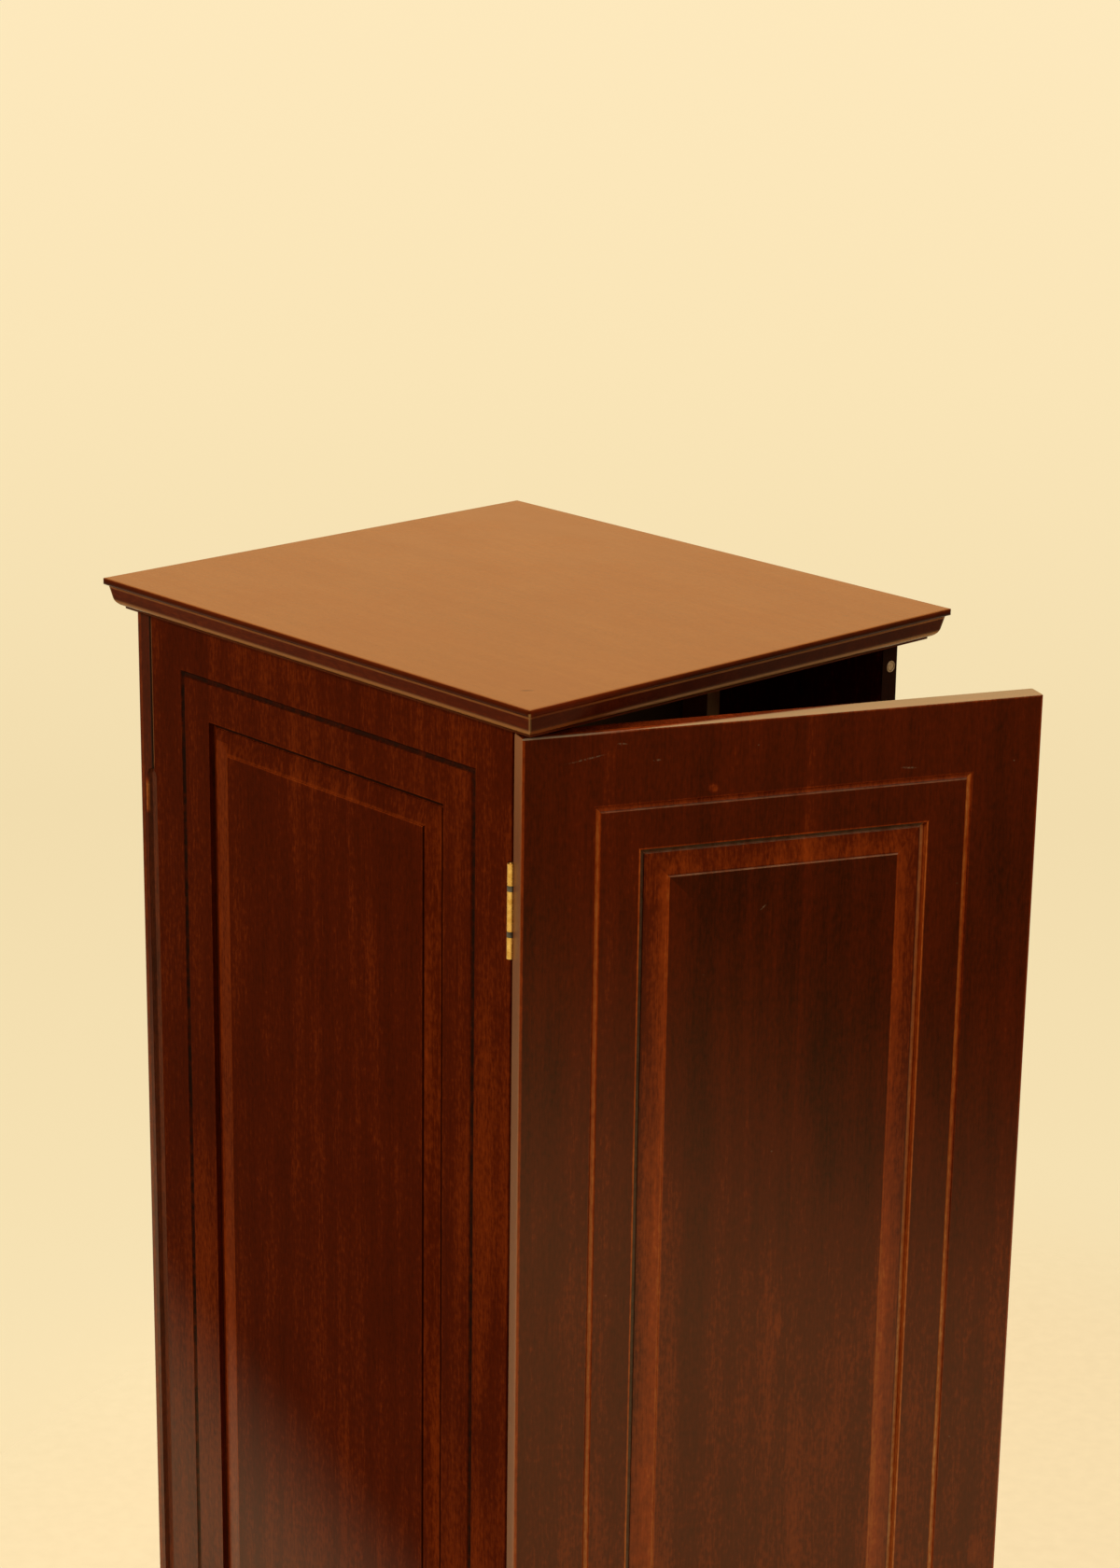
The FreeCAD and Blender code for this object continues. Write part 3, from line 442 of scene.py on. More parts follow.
# left, right and level are the tones and veil of each run, whose tones paint highlights and shade, and the
# field after them is the veil's colour: dirt and painted shade on the sides, dust and painted highlights on
# the doors.
# pull_side is the sign of the upright edge with the finger pull, edge is the depth and the reach of its dark
# part, dirt and painted shade in the joint, and pull is where the finger pull lies, in from the edge and in
# depth. shine is the polish at the foot and above, and the heights between which it changes.
Panel = namedtuple("Panel", (
    "half_width", "half_height", "bead_inset", "left", "right", "level", "dirt", "pull_side", "edge", "pull",
    "shine",
))
SIDE = Panel(
    half_width=side_half,
    half_height=side_high,
    bead_inset=SIDE_BEAD,
    left=(SIDE_LEFT_TONES, SIDE_UPRIGHT_DIRT_AND_SHADE),
    right=(SIDE_RIGHT_TONES, SIDE_UPRIGHT_DIRT_AND_SHADE),
    level=(SIDE_LEVEL_TONES, SIDE_LEVEL_DIRT_AND_SHADE),
    dirt=DIRT_AND_SHADE,
    pull_side=-1,
    edge=(-1.0 * MM, 0.8 * MM),
    pull=((-1.0 * MM, 4.4 * MM), (0.4 * MM, 5.4 * MM)),
    shine=(0.27, 0.008, -370 * MM, -130 * MM),
)
DOOR = Panel(
    half_width=door_half,
    half_height=door_high,
    bead_inset=DOOR_BEAD,
    left=(DOOR_LEFT_TONES, DOOR_LEFT_DUST_AND_HIGHLIGHT),
    right=(DOOR_RIGHT_TONES, DOOR_RIGHT_DUST_AND_HIGHLIGHT),
    level=(DOOR_LEVEL_TONES, DOOR_LEVEL_DUST_AND_HIGHLIGHT),
    dirt=DUST_AND_SHEEN,
    pull_side=1,
    edge=(16.6 * MM, 2.6 * MM),
    pull=((0.4 * MM, 5.4 * MM), (10.2 * MM, 20.2 * MM)),
    shine=(0.37, 0.04, -20 * MM, 380 * MM),
)


def on_face(finish, depth):
    return finish.calc("LESS_THAN", depth, FACE_DEPTH)


def routed_runs(finish, own, panel):
    """Tone and veil of the arris, grooves and bevels that run round a panel, on its face only: painted
    highlights and shade, with dirt on the sides and dust on the doors.
    """
    across, depth, up = finish.parts(own)
    wide = finish.calc("SUBTRACT", panel.half_width, finish.calc("ABSOLUTE", across))
    high = finish.calc("SUBTRACT", panel.half_height, finish.calc("ABSOLUTE", up))
    past = finish.calc("SUBTRACT", finish.calc("MINIMUM", wide, high), panel.bead_inset)
    on_upright = finish.calc("LESS_THAN", wide, high)
    on_right = finish.calc("GREATER_THAN", across, 0.0)

    def pick(level, left, right):
        return finish.choose(on_upright, level, finish.choose(on_right, left, right))
    runs = (panel.level, panel.left, panel.right)
    tone = pick(*(finish.signed_profile(past, tones) for tones, _ in runs))
    veil = pick(*(finish.profile(past, veils) for _, veils in runs))
    patches = finish.span(finish.noise(own, 90, 4, 0.7), *VEIL_PATCHES)
    face = on_face(finish, depth)
    return finish.times(tone, face), finish.times(veil, face, patches)


def pull_edge(finish, own, panel):
    """1 on the dark part of the edge with the finger pull, dirt and painted shade, and 1 in the pull, painted
    lighter.
    """
    across, depth, up = finish.parts(own)
    from_edge = finish.plus(panel.half_width, across, -panel.pull_side)
    edge_depth, edge_reach = panel.edge
    edge = finish.times(
        finish.span(depth, edge_depth, edge_depth + EDGE_BLUR),
        finish.calc("LESS_THAN", from_edge, edge_reach),
    )
    (near, far), (shallow, deep) = panel.pull
    pull = finish.times(
        finish.within(from_edge, near, far),
        finish.within(depth, shallow, deep),
        finish.within(up, -PULL_HALF, PULL_HALF),
    )
    return edge, pull


def panel_look(panel, extra):
    """Runs of a panel in painted highlights and shade, its edge darkened with dirt and painted shade, its
    finger pull painted lighter, its painted tone by height, and what extra adds.
    """
    def look(finish, own):
        tone, veil = routed_runs(finish, own, panel)
        edge, pull = pull_edge(finish, own, panel)
        # Dirt and painted shade on the edge with the finger pull, painted light and sheen in the pull
        tone = finish.plus(tone, edge, EDGE_TONE)
        tone = finish.plus(tone, pull, PULL_PAINTED_LIGHT)
        up = finish.parts(own)[2]
        tone = finish.calc("ADD", tone, finish.signed_profile(up, HEIGHT_TONES))
        veils = [
            (veil, panel.dirt),
            (finish.times(pull, PULL_PAINTED_SHEEN), DUST_AND_SHEEN),
            (finish.times(edge, EDGE_DARKENING), DIRT_AND_SHADE),
        ]
        more, more_veils = extra(finish, own)
        return finish.calc("ADD", tone, more), veils + more_veils
    return look


def panel_shine(panel):
    """The polish of a panel: glossy towards its foot and dull above, from a little lower on the right."""
    def shine(finish, own):
        across, _, up = finish.parts(own)
        glossy, dull, low, high = panel.shine
        return finish.span(finish.plus(up, across, SHINE_SKEW), low, high, glossy, dull)
    return shine


def finish_panel(node, origin, turn, panel, extra):
    material = wood(
        f"{node}_wood", origin, turn, plain_stain(STAIN),
        look=panel_look(panel, extra), shine=panel_shine(panel), tint=PANEL_TINT,
    )
    dress(node, material)


# Marks of the sides, both painted light: tone of the bevel painted brighter, and width, core and strength by
# height of the painted highlight line

LIT_BEVEL_TONE = 0.07
LINE_WIDTH = 2.0 * MM
LINE_CORE = 0.8 * MM
JOINT_HIGHLIGHT = ((388, 0.0), (394, 0.42), (512, 0.30), (522, 0.0))


def lit_bevel(finish, own):
    """Painted light: a brighter, redder bevel on the edge with the finger pull, as lit from that side."""
    across, _, up = finish.parts(own)
    bevel = finish.within(across, -SIDE_BEVEL - BEVEL_WIDTH / 2, -SIDE_BEVEL + BEVEL_WIDTH / 2)
    return finish.times(bevel, finish.within(up, -SIDE_RUN, SIDE_RUN), LIT_BEVEL_TONE), []


def left_marks(finish, own):
    """The bevel painted brighter, and a painted highlight down the joint with the rear door."""
    across, depth, up = finish.parts(own)
    line = finish.span(across, LINE_WIDTH - side_half, LINE_CORE - side_half)
    # A painted highlight along the arris at the joint
    pale = finish.times(line, finish.profile(up, JOINT_HIGHLIGHT), on_face(finish, depth))
    tone, _ = lit_bevel(finish, own)
    return tone, [(pale, EDGING_AND_HIGHLIGHT)]


# Marks of the doors; scratches, spots and the stops of tables are in millimetres

# Scratches: across, up, half width, half height and turn
SCRATCHES = (
    (-164, 501.5, 20, 0.9, -0.16), (-135, 511, 5, 1.1, 0.1), (-107, 496, 4, 1.0, 0.0),
    (101, 472, 9, 1.0, 0.1), (-17, 370, 4, 0.8, -0.7), (-25, 501, 1.2, 0.8, 0.0),
    (191, 470, 1.0, 0.8, 0.0), (147, 373, 1.3, 1.1, 0.0), (-65, 320, 1.0, 0.9, 0.0),
    (-3, 165, 1.0, 0.9, 0.0), (120, 210, 0.9, 0.8, 0.0), (-140, 60, 0.9, 0.7, 0.0),
    (165, -112, 1.2, 1.0, 0.0),
)
SCRATCH_DEPTH = 3
# How broken the scratches are: range of a noise, and share of dust at its ends
SCRATCH_BREAKS = (0.40, 0.62, 0.0, 0.24)
# A red knot, a smear and a flame of the grain: place, half sizes and tone
SPOTS = (
    ((-61, 0, 470), (6, 3, 5), 0.16),
    ((8, 0, 12), (4, 3, 14), 0.08),
    ((192, 0, -221), (8, 3, 18), 0.07),
)
# Painted shade: tones by height on the field and on the frame about it, the share of the frame's at its hinge
# edge, and how far out from the middle that share changes
FIELD_TONES = (
    (-500, 0.0), (-150, 0.01), (-20, 0.03), (60, 0.01),
    (140, -0.045), (220, -0.08), (330, -0.115), (402, -0.13),
)
FRAME_TONES = (
    (-540, 0.0), (40, 0.0), (140, -0.05), (220, -0.075),
    (300, -0.06), (380, -0.085), (480, -0.05), (545, -0.04),
)
HINGE_SHARE = 0.65
FRAME_REACH = 200 * MM
# The streak: its left edge and sway, heights and its widths there, heights and its tones there, and its
# strength by shares of its width
STREAK_LEFT = 12 * MM
STREAK_SWAY = 6 * MM
STREAK_WIDEN = (0.10, 0.40, 1.2 * MM, 22 * MM)
STREAK_FADE = (-0.30, 0.20, 0.015, 0.06)
STREAK_BAND = ((0.0, 0.0), (0.06, 1.0), (0.35, 0.55), (1.0, 0.0))
# The hinge edge: how far in it reaches, and how far it is rubbed by height
HINGE_EDGE = 0.5 * MM
HINGE_RUB = ((-520, 0.26), (0, 0.34), (350, 0.32), (430, 0.28), (520, 0.54))
# The top end, painted light on one side of a slanting shadow edge: depth, slant, and places across with
# shares there
END_DEPTH = 0.4 * MM
END_SLANT = -10.0
END_LIGHT = (-0.15, -0.10, 0.0, 0.8)
# The arris of the top end: its size, where its painted sheen ends and where it is full, and how much lies
# there
ARRIS = 1.3 * MM
SHEEN_ENDS = 100 * MM
SHEEN_FULL = 30 * MM
ARRIS_SHEEN = 0.6
# The lip of the rear door's pull: from and to, across and in depth, and how far it is rubbed by height
LIP_ACROSS = (211.5 * MM, 212.5 * MM)
LIP_DEPTH = (8.2 * MM, 10.9 * MM)
LIP_RUB = ((346, 0.0), (350, 0.30), (372, 0.34), (379, 0.0))


def door_shade(finish, across, up):
    """Painted shade: the door's field darker towards its top, and the frame about it darker towards its free
    edge.
    """
    on_field = finish.times(
        finish.within(across, -DOOR_FIELD, DOOR_FIELD),
        finish.within(up, -FIELD_END, FIELD_END),
    )
    on_frame = finish.calc("SUBTRACT", 1.0, on_field)
    lean = finish.times(on_frame, finish.span(across, -FRAME_REACH, FRAME_REACH, HINGE_SHARE, 1.0))
    field = finish.times(on_field, finish.signed_profile(up, FIELD_TONES))
    return finish.plus(field, lean, finish.signed_profile(up, FRAME_TONES))


def streak(finish, own):
    """Tone of a lighter streak, wide at the top and narrowing to a line."""
    across, _, up = finish.parts(own)
    wave = finish.noise(finish.scaled(own, (0, 0, 9)), 1, 2)
    left = finish.plus(STREAK_LEFT, wave, STREAK_SWAY)
    width = finish.span(up, *STREAK_WIDEN)
    share = finish.calc("DIVIDE", finish.calc("SUBTRACT", across, left), width)
    fade = finish.span(up, *STREAK_FADE)
    return finish.times(finish.ramp(share, STREAK_BAND), fade)


def scratches(finish, own):
    """Share of dust in the broken scratches."""
    total = 0.0
    for across, up, width, height, turn in SCRATCHES:
        mark = finish.blot(own, (across, 0, up), (width, SCRATCH_DEPTH, height), (0, turn, 0))
        total = finish.calc("MAXIMUM", mark, total)
    return finish.times(total, finish.span(finish.noise(own, 420, 3, 0.7), *SCRATCH_BREAKS))


def door_marks(finish, own):
    """Painted shade, streak, spots, scratches, and worn and painted-lit edges of the front door."""
    across, depth, up = finish.parts(own)
    tone = finish.calc("ADD", streak(finish, own), door_shade(finish, across, up))
    tone = finish.times(tone, on_face(finish, depth))
    for place, size, strength in SPOTS:
        tone = finish.plus(tone, finish.blot(own, place, size), strength)
    return tone, [(scratches(finish, own), DUST_AND_SHEEN)] + rubbed_edges(finish, own)


def rubbed_edges(finish, own):
    """The hinge edge, worn pale; the top end, painted pale where it is lit beyond a slanting shadow edge; and
    a painted sheen on the top arris near the hinge edge.
    """
    across, depth, up = finish.parts(own)
    edge = finish.calc("LESS_THAN", across, HINGE_EDGE - door_half)
    lit = finish.span(finish.plus(across, depth, END_SLANT), *END_LIGHT)
    end = finish.calc("GREATER_THAN", up, door_high - END_DEPTH)
    arris = finish.times(
        finish.calc("GREATER_THAN", up, door_high - ARRIS),
        finish.calc("LESS_THAN", depth, ARRIS),
    )
    near = finish.span(across, SHEEN_ENDS - door_half, SHEEN_FULL - door_half, 0.0, ARRIS_SHEEN)
    return [
        (finish.times(edge, finish.profile(up, HINGE_RUB)), EDGING_AND_HIGHLIGHT),
        (finish.times(end, lit), PAINTED_LIT_END),
        (finish.times(arris, near), DUST_AND_SHEEN),
    ]


def rubbed_pull(finish, own):
    """The bare, worn lip of the rear door's finger pull, and its worn and painted-lit edges."""
    across, depth, up = finish.parts(own)
    lip = finish.times(finish.within(depth, *LIP_DEPTH), finish.span(across, *LIP_ACROSS))
    return finish.times(lip, finish.profile(up, LIP_RUB)), rubbed_edges(finish, own)


finish_panel("left_side", (left_low.x, 0, middle), -math.pi / 2, SIDE, left_marks)
finish_panel("right_side", (right_high.x, 0, middle), math.pi / 2, SIDE, lit_bevel)
finish_panel("rear_door", (0, rear_high.y, middle), math.pi, DOOR, rubbed_pull)
swing = next(joint for joint in frame["joints"] if joint["name"] == "front_door_swing")
ajar = math.radians(swing["range_deg"][0])
hinge = Vector(swing["pos_m"])
hinge.z = 0
closed = Vector((0, -rear_high.y, middle))
front = tuple(hinge + Matrix.Rotation(ajar, 3, "Z") @ (closed - hinge))
finish_panel("front_door", front, ajar, DOOR, door_marks)


# Boards, with their grain from front to rear, a broad face painted lighter and a moulding painted darker,
# with painted highlights along it; stops are millimetres below the face

# Tones of the moulding are painted highlights and shade; the shares after them paint pale highlight lines
# along it
MOULDING_TONES = (
    (0.0, 0.0), (0.4, -0.08), (4.7, -0.12), (5.8, -0.10), (6.2, 0.14), (8.4, 0.14), (8.9, 0.01), (18.6, 0.01),
    (19.3, 0.22), (22.0, 0.28), (22.8, -0.08), (24.6, -0.12), (25.2, 0.0), (26.0, 0.0),
)
MOULDING_HIGHLIGHTS = (
    (0.0, 0.0), (5.9, 0.0), (6.3, 0.34), (8.3, 0.34), (8.9, 0.0), (17.4, 0.0), (19.4, 0.42), (20.6, 0.6),
    (22.3, 0.6), (22.9, 0.04), (26.0, 0.04),
)
# Depths at which the broad face ends and the moulding begins, and the polish of each
FACE_ENDS = 0.15 * MM
MOULDING_BEGINS = 0.7 * MM
FACE_SHINE = 0.3
MOULDING_SHINE = 0.03
# Rubbed mitres, and the slope of the ends darkened with painted shade: width, depths and share of the veil
MITRE_WIDTH = 2.2 * MM
MITRE_DEPTH = (3 * MM, 20 * MM)
MITRE_RUB = 0.5
SLOPE_DEPTH = (8.5 * MM, 19 * MM)
SLOPE_SHADE = 0.4
# How strong the tones and highlights of the ends are, all painted light and shade: places from left to right,
# and shares there
END_HIGHLIGHT_SHARES = (-0.20, -0.08, 0.25, 1.35)
# Dark marks on the display face: place, half width and half length, turn, tone
TOP_MARKS = (
    ((-199, -223), (1.6, 7), 0.9, -0.5),
    ((60, -178), (1.2, 4), 0.4, -0.2),
    ((74, -190), (1.0, 3), -0.5, -0.2),
    ((149, -225), (1.2, 4), 1.1, -0.25),
    ((42, 137), (1.5, 1.5), 0.0, -0.35),
    ((-150, 33), (1.4, 1.4), 0.0, -0.3),
)
TOP_MARK_DEPTH = 2
BOARD_CONTRAST = 0.5


def below_face(finish, own, face, outward):
    """Depth below the broad face, at that height of the board's own frame, outward up or down."""
    return finish.calc("SUBTRACT", face, finish.times(finish.parts(own)[2], outward))


def board_stain(face, outward):
    """Painted light and shade: lighter on the broad face and dark on the moulding."""
    def stain(finish, own, tone):
        on_moulding = finish.span(below_face(finish, own, face, outward), FACE_ENDS, MOULDING_BEGINS)
        return finish.mix(on_moulding, finish.ramp(tone, LIT_TOP_STAIN), finish.ramp(tone, STAIN))
    return stain


def board_shine(face, outward):
    """Glossy on the broad face and dull on the moulding."""
    def shine(finish, own):
        depth = below_face(finish, own, face, outward)
        return finish.span(depth, FACE_ENDS, MOULDING_BEGINS, FACE_SHINE, MOULDING_SHINE)
    return shine


def board_look(half_width, half_depth, face, outward):
    """Painted highlights and shade along the moulding, painted shade on its slope at the ends, worn mitres,
    and marks on the face of the top.
    """
    def look(finish, own):
        depth = below_face(finish, own, face, outward)
        x, y, _ = finish.parts(own)
        across = finish.calc("SUBTRACT", half_width, finish.calc("ABSOLUTE", x))
        along = finish.calc("SUBTRACT", half_depth, finish.calc("ABSOLUTE", y))
        on_end = finish.calc("LESS_THAN", along, across)
        run = finish.times(x, finish.calc("SIGN", finish.times(y, -1)))
        # Painted light: on the front and rear the moulding's highlights and shade fade near the left end as
        # seen from outside
        rubbed = finish.choose(on_end, 1.0, finish.span(run, *END_HIGHLIGHT_SHARES))
        tone = finish.times(finish.signed_profile(depth, MOULDING_TONES), rubbed)
        marks = TOP_MARKS if outward > 0 else ()
        for (at_x, at_y), (wide, long), turn, dark in marks:
            mark = finish.blot(own, (at_x, at_y, face / MM), (wide, long, TOP_MARK_DEPTH), (0, 0, turn))
            tone = finish.plus(tone, mark, dark)
        apart = finish.calc("ABSOLUTE", finish.calc("SUBTRACT", across, along))
        mitre = finish.times(finish.span(apart, MITRE_WIDTH, 0.0), finish.within(depth, *MITRE_DEPTH))
        # Painted shade on the slope under the nose at the front and rear
        slope = finish.times(on_end, finish.within(depth, *SLOPE_DEPTH))
        return tone, [
            (finish.times(finish.profile(depth, MOULDING_HIGHLIGHTS), rubbed), RUB_AND_HIGHLIGHT),
            (finish.times(mitre, MITRE_RUB), RUB_AND_HIGHLIGHT),
            (finish.times(slope, SLOPE_SHADE), DIRT_AND_SHADE),
        ]
    return look


for board, outward in (("top_board", 1), ("base_board", -1)):
    low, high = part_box(board)
    half_width, half_depth, face = (high - low) / 2
    material = wood(
        f"{board}_wood", tuple((low + high) / 2), 0, board_stain(face, outward), ALONG_Y,
        look=board_look(half_width, half_depth, face, outward), shine=board_shine(face, outward),
        contrast=BOARD_CONTRAST,
    )
    dress(board, material)


# Plain wood of the inside

bare = wood("batten_wood", (0, 0, 0), 0, plain_stain(BARE_WOOD), gloss=PLAIN)
dark = wood("divider_wood", (0, 0, 0), 0, plain_stain(DARK_INSIDE), gloss=PLAIN)
dark_level = wood("shelf_wood", (0, 0, 0), 0, plain_stain(DARK_INSIDE), along=ALONG_X, gloss=PLAIN)
for node in nodes:
    if node.endswith(("_batten", "_dowels")):
        dress(node, bare)
    elif node.endswith("_shelf"):
        dress(node, dark_level)
dress("centre_divider", dark)


# Metal

BRASS = ((0.3, srgb(206, 156, 66)), (0.7, srgb(244, 202, 112)))
STEEL = ((0.3, srgb(70, 66, 62)), (0.7, srgb(120, 116, 110)))
MAGNET_CAP = ((0.3, srgb(128, 102, 70)), (0.7, srgb(172, 142, 102)))
# Noises of the fine marks and the spots, and how much rougher the marks are
METAL_MARKS = (900, 3, 0.6)
METAL_SPOTS = (160, 3, 0.6)
SCUFFED = 0.18
SCUFF_DEPTH = 0.05 * MM


def metal(name, colours, gloss, brushed, share=1.0):
    """Spotted metal with fine marks, drawn out along the axis where brushed is small."""
    finish = Finish(name)
    own = finish.place()
    marks = finish.noise(finish.scaled(own, brushed), *METAL_MARKS)
    spots = finish.noise(own, *METAL_SPOTS)
    return finish.surface(
        Base_Color=finish.ramp(spots, colours),
        Metallic=share,
        Roughness=finish.span(marks, *NOISE_RANGE, gloss, gloss + SCUFFED),
        Normal=finish.bump(marks, SCUFF_DEPTH),
    )


brass = metal("brass", BRASS, 0.24, (0.1, 1, 1), 0.8)
steel = metal("steel", STEEL, 0.32, (1, 1, 0.1))
cap = metal("magnet_cap", MAGNET_CAP, 0.34, (1, 1, 1), 0.3)
for node in nodes:
    if node.endswith(("_leaf", "_hinge_pin")) or "hinge_screws" in node:
        dress(node, brass)
    elif node.endswith(("_washers", "_strikes", "_pins", "batten_screws")):
        dress(node, steel)
    elif node.endswith("_magnets"):
        dress(node, cap)


# Fittings modelled over their plain solids; along is measured from the outer end into the wood

WELD = 0.001 * MM
END_BAND = 0.01 * MM
SHARP_EDGE = math.radians(35)


def islands(node):
    """Points of each separate solid of a node."""
    shape = bmesh.new()
    shape.from_mesh(nodes[node].data)
    bmesh.ops.remove_doubles(shape, verts=shape.verts, dist=WELD)
    left = set(shape.verts)
    found = []
    while left:
        reached = [left.pop()]
        for vert in reached:
            for edge in vert.link_edges:
                other = edge.other_vert(vert)
                if other in left:
                    left.remove(other)
                    reached.append(other)
        found.append(np.array([vert.co for vert in reached]))
    shape.free()
    return found


def solid_axis(points, inward=None):
    """Place of a turned solid, with +Z from its outer end inwards, its length, widest and inner radius."""
    centre = points.mean(axis=0)
    axis = np.linalg.svd(points - centre)[2][0] if inward is None else np.array(inward)
    along = (points - centre) @ axis
    out = np.linalg.norm(points - centre - np.outer(along, axis), axis=1)
    if inward is None and along[out.argmax()] > 0:
        axis, along = -axis, -along
    head = points[along < along.min() + END_BAND].mean(axis=0)
    at_tip = along > along.max() - END_BAND
    tip = points[at_tip].mean(axis=0)
    length = np.linalg.norm(tip - head)
    turn = Vector((tip - head) / length).to_track_quat("Z", "Y").to_matrix().to_4x4()
    return Matrix.Translation(head) @ turn, length, out.max(), out[at_tip].max()


def arc(shape, place, radius, along, angles):
    """New points at these angles about Z of place."""
    spots = [Vector((radius * math.cos(angle), radius * math.sin(angle), along)) for angle in angles]
    return [shape.verts.new(place @ spot) for spot in spots]


def turned(shape, place, profile, sides=32):
    """A solid turned about Z of place; profile has (radius, along) pairs, and its ends lie on the axis."""
    angles = [2 * math.pi * step / sides for step in range(sides)]
    rings = []
    for radius, along in profile:
        if radius == 0:
            rings.append([shape.verts.new(place @ Vector((0, 0, along)))] * sides)
        else:
            rings.append(arc(shape, place, radius, along, angles))
    for ring, following in zip(rings, rings[1:]):
        for step in range(sides):
            corners = (ring[step - 1], ring[step], following[step], following[step - 1])
            shape.faces.new(list(dict.fromkeys(corners)))


def slotted_head(shape, place, levels, slot, steps=10):
    """Both halves of a slotted head; levels are (radius, along) pairs, and slot is half the slot's width."""
    for side in (0, math.pi):
        rings = []
        for radius, along in levels:
            start = math.asin(slot / radius)
            angles = [side + start + (math.pi - 2 * start) * step / steps for step in range(steps + 1)]
            rings.append(arc(shape, place, radius, along, angles))
        for ring, following in zip(rings, rings[1:]):
            for step in range(len(ring)):
                shape.faces.new((ring[step - 1], ring[step], following[step], following[step - 1]))
        shape.faces.new(rings[0])
        shape.faces.new(rings[-1])


def slotted_screw(shape, place, length, head, shank):
    """A countersunk screw: turned below the slot's floor, with two half heads above it."""
    rim = 0.05 * head
    floor = 0.26 * head
    cone = head - shank
    slotted_head(shape, place, ((head - rim, 0.0), (head, rim), (head - floor + rim, floor)), 0.13 * head)
    turned(shape, place, (
        (0, floor), (head - floor + rim, floor), (shank, cone + rim), (shank, length - shank), (0, length),
    ))


def magnet_cup(shape, place, length, radius):
    """A magnet in a steel cup: sunk face, fine gap and rounded rim."""
    sunk = 0.06 * radius
    turned(shape, place, (
        (0, sunk), (0.64 * radius, sunk), (0.68 * radius, 1.5 * sunk), (0.69 * radius, 4 * sunk),
        (0.75 * radius, 4 * sunk), (0.76 * radius, sunk), (0.81 * radius, 0.2 * sunk), (0.86 * radius, 0),
        (0.93 * radius, 0.2 * sunk), (0.98 * radius, 0.9 * sunk), (radius, 2 * sunk), (radius, length),
        (0, length),
    ))


def strike_plate(shape, place, length, radius):
    """A round plate with an eased rim and a slotted screw in its middle."""
    screw = 0.42 * radius
    sunk = 0.04 * radius
    turned(shape, place, (
        (0, 3 * sunk), (screw, 3 * sunk), (1.06 * screw, 0.6 * sunk), (1.12 * screw, 0), (0.93 * radius, 0),
        (0.98 * radius, 0.5 * sunk), (radius, 2 * sunk), (radius, length), (0, length),
    ))
    levels = ((0.92 * screw, 0.3 * sunk), (0.97 * screw, sunk), (0.97 * screw, 3 * sunk))
    slotted_head(shape, place, levels, 0.16 * screw)


def fit(name, node, body, material, make):
    """A detailed piece that stands for a node of turned solids; make adds one solid to the mesh."""
    shape = bmesh.new()
    for points in islands(node):
        make(shape, points)
    bmesh.ops.recalc_face_normals(shape, faces=shape.faces)
    mesh = bpy.data.meshes.new(name)
    shape.to_mesh(mesh)
    shape.free()
    mesh.shade_smooth()
    mesh.set_sharp_from_angle(angle=SHARP_EDGE)
    mesh.materials.append(material)
    piece = bpy.data.objects.new(name, mesh)
    bpy.context.scene.collection.objects.link(piece)
    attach(piece, body)
    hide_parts(node)


def make_screw(shape, points):
    place, length, head, shank = solid_axis(points)
    slotted_screw(shape, place, length, head, shank)


def disc_maker(make, inward):
    """A maker of round fittings whose axis points inward."""
    def add(shape, points):
        place, length, radius, _ = solid_axis(points, inward)
        make(shape, place, length, radius)
    return add


fit("slotted_batten_screws", "batten_screws", "carcass", steel, make_screw)
into_door = Matrix.Rotation(ajar, 3, "Z") @ Vector((0, -1, 0))
for end, into_side, into_strike in (("front", (0, 1, 0), tuple(into_door)), ("rear", (0, -1, 0), (0, 1, 0))):
    door = f"{end}_door"
    fit(f"{end}_slotted_frame_screws", f"{end}_frame_hinge_screws", "carcass", brass, make_screw)
    fit(f"{end}_slotted_door_screws", f"{end}_door_hinge_screws", door, brass, make_screw)
    make_cup = disc_maker(magnet_cup, into_side)
    fit(f"{end}_magnet_cups", f"{end}_magnets", "carcass", cap, make_cup)
    make_plate = disc_maker(strike_plate, into_strike)
    fit(f"{end}_strike_plates", f"{end}_strikes", door, steel, make_plate)


# Floor, backdrop, light and camera

# Backdrop by the height of the line of sight, from -0.5 to 0.3
SIGHT_LOW = -0.5
SIGHT_REACH = 0.8
BACKDROP = (
    (0.00, srgb(250, 229, 182)),
    (0.25, srgb(242, 221, 174)),
    (0.40, srgb(250, 229, 183)),
    (0.54, srgb(254, 233, 189)),
    (0.70, srgb(244, 214, 160)),
    (1.00, srgb(226, 184, 124)),
)
# Light from around by how far its direction points away from the camera, from 0 to 1
SURROUNDINGS = (
    (0.28, srgb(98, 72, 42)),
    (0.60, srgb(170, 112, 56)),
    (0.74, srgb(222, 164, 96)),
    (0.82, srgb(240, 206, 150)),
)
AWAY = (0.69, 0.72, 0.0)
# Where the backdrop lights the object too, and where the floor on the near side does, by direction and height
FAR_SIDE = (0.74, 0.85)
NEAR_SIDE = (-0.2, -0.55)
NEAR_HEIGHT = (-0.34, -0.44)
NEAR_FLOOR = srgb(250, 228, 178)
# The floor's paper: an oval, turned and shifted under the object, plain to one radius and gone at the other
PAPER = ((0.3, srgb(245, 224, 177)), (0.7, srgb(249, 228, 181)))
PAPER_TURN = math.radians(-43.8)
PAPER_SHIFT = 0.30
PAPER_LENGTH = 1.2
PAPER_PLAIN = 0.72
PAPER_REACH = 1.22
PAPER_GLOW = 0.5
BLACK = (0, 0, 0, 1)
# Place, aim, size and watts
LAMPS = {
    "key": ((0.4, 0.5, 3.4), (0, 0, 0.9), 1.8, 90),
    "front": ((0.6, -3.0, 2.7), (0, -0.3, 0.4), 1.4, 30),
    "fill": ((-3.4, -0.7, 3.0), (0, 0, 0.7), 1.6, 75),
}
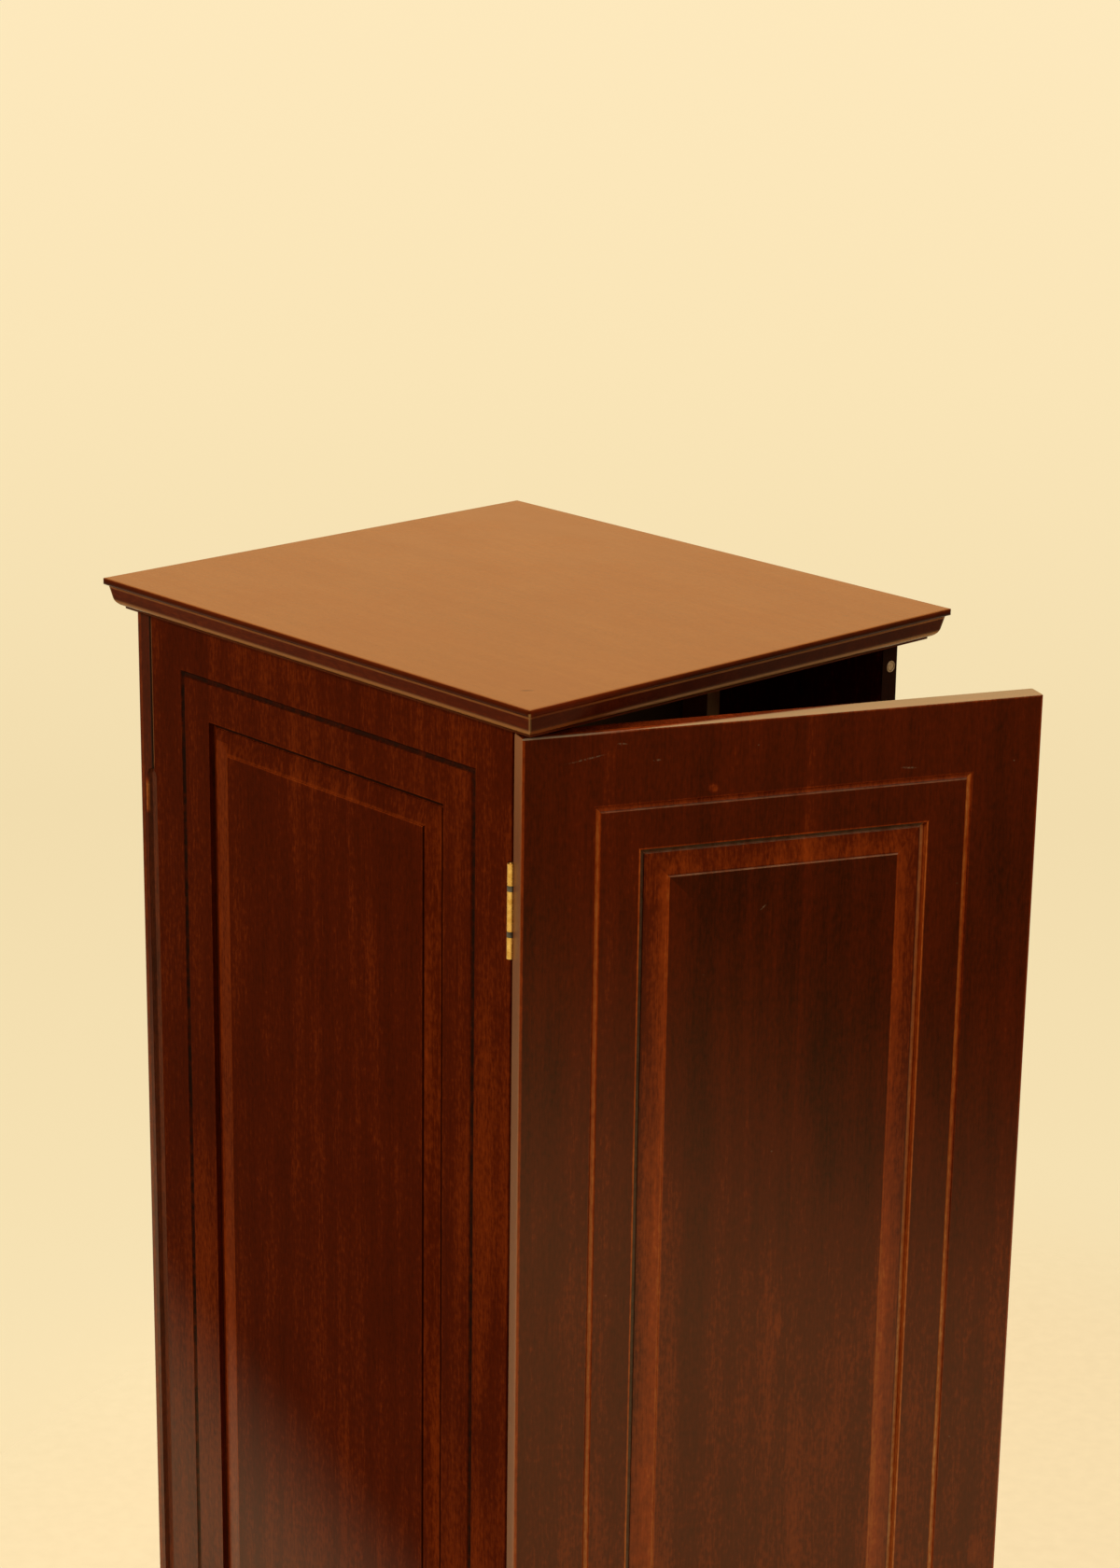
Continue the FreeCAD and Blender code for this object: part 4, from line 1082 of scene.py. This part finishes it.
# The photograph's camera, found from the top board's corners and the door
CAMERA_PLACE = (-1.8811, -2.0508, 1.7974)
CAMERA_RIGHT = Vector((0.73161, -0.68159, 0.01336))
CAMERA_UP = Vector((0.19247, 0.22531, 0.95509))
CAMERA_LENS = 79.56
CAMERA_SENSOR = 36.0


def floor_paper(centre):
    """Pale paper that fades into the backdrop; half of what is seen of it is its own glow."""
    finish = Finish("floor_paper")
    own = finish.local(tuple(centre), PAPER_TURN)
    paper = finish.ramp(finish.noise(own, 60, 3), PAPER)
    out = finish.length(finish.scaled(own, (1, 1 / PAPER_LENGTH, 1)))
    glow = finish.times(finish.seen(), PAPER_GLOW)
    return finish.surface(
        Base_Color=finish.mix(glow, paper, BLACK),
        Roughness=0.9,
        Specular_IOR_Level=0.1,
        Emission_Color=paper,
        Emission_Strength=glow,
        Alpha=finish.span(out, PAPER_PLAIN, PAPER_REACH, 1.0, 0.0),
    )


def make_floor():
    turn = Matrix.Rotation(PAPER_TURN, 3, "Z")
    centre = turn @ Vector((PAPER_SHIFT, 0, 0))
    mesh = bpy.data.meshes.new("floor")
    shape = bmesh.new()
    bmesh.ops.create_circle(shape, cap_ends=True, segments=96, radius=PAPER_REACH)
    bmesh.ops.scale(shape, vec=(1, PAPER_LENGTH, 1), verts=shape.verts)
    bmesh.ops.rotate(shape, matrix=turn, verts=shape.verts)
    bmesh.ops.translate(shape, vec=centre, verts=shape.verts)
    shape.to_mesh(mesh)
    shape.free()
    floor = bpy.data.objects.new("floor", mesh)
    bpy.context.scene.collection.objects.link(floor)
    mesh.materials.append(floor_paper(centre))


def make_world():
    """A cream backdrop for the camera and in reflections; the near side lights the object more dimly."""
    world = bpy.data.worlds.new("studio")
    bpy.context.scene.world = world
    world.use_nodes = True
    sky = Shading(world.node_tree)
    toward = sky.add("ShaderNodeTexCoord").outputs["Generated"]
    away = sky.add("ShaderNodeVectorMath", {0: toward, 1: AWAY}, operation="DOT_PRODUCT").outputs["Value"]
    rise = sky.parts(toward)[2]
    height = sky.calc("DIVIDE", sky.calc("SUBTRACT", rise, SIGHT_LOW), SIGHT_REACH)
    on_floor = sky.times(sky.span(away, *NEAR_SIDE), sky.span(rise, *NEAR_HEIGHT))
    around = sky.mix(on_floor, sky.ramp(away, SURROUNDINGS), NEAR_FLOOR)
    pale = sky.calc("MAXIMUM", sky.seen(), sky.span(away, *FAR_SIDE))
    colour = sky.mix(pale, around, sky.ramp(height, BACKDROP))
    background = sky.add("ShaderNodeBackground", {"Color": colour})
    sky.add("ShaderNodeOutputWorld", {"Surface": background.outputs[0]})


def make_lamp(name, place, aim, size, watts):
    lamp = bpy.data.lights.new(name, "AREA")
    lamp.shape = "DISK"
    lamp.size = size
    lamp.energy = watts
    holder = bpy.data.objects.new(name, lamp)
    bpy.context.scene.collection.objects.link(holder)
    holder.location = place
    holder.rotation_mode = "QUATERNION"
    holder.rotation_quaternion = (Vector(aim) - Vector(place)).to_track_quat("-Z", "Y")


def make_camera():
    camera = bpy.data.cameras.new("camera")
    camera.lens = CAMERA_LENS
    camera.sensor_width = CAMERA_SENSOR
    holder = bpy.data.objects.new("camera", camera)
    bpy.context.scene.collection.objects.link(holder)
    back = CAMERA_RIGHT.cross(CAMERA_UP)
    turn = Matrix((CAMERA_RIGHT, CAMERA_UP, back)).transposed()
    holder.matrix_world = Matrix.Translation(CAMERA_PLACE) @ turn.to_4x4()
    bpy.context.scene.camera = holder


make_floor()
make_world()
for lamp_name, settings in LAMPS.items():
    make_lamp(lamp_name, *settings)
make_camera()
bpy.context.scene.view_settings.view_transform = "Standard"
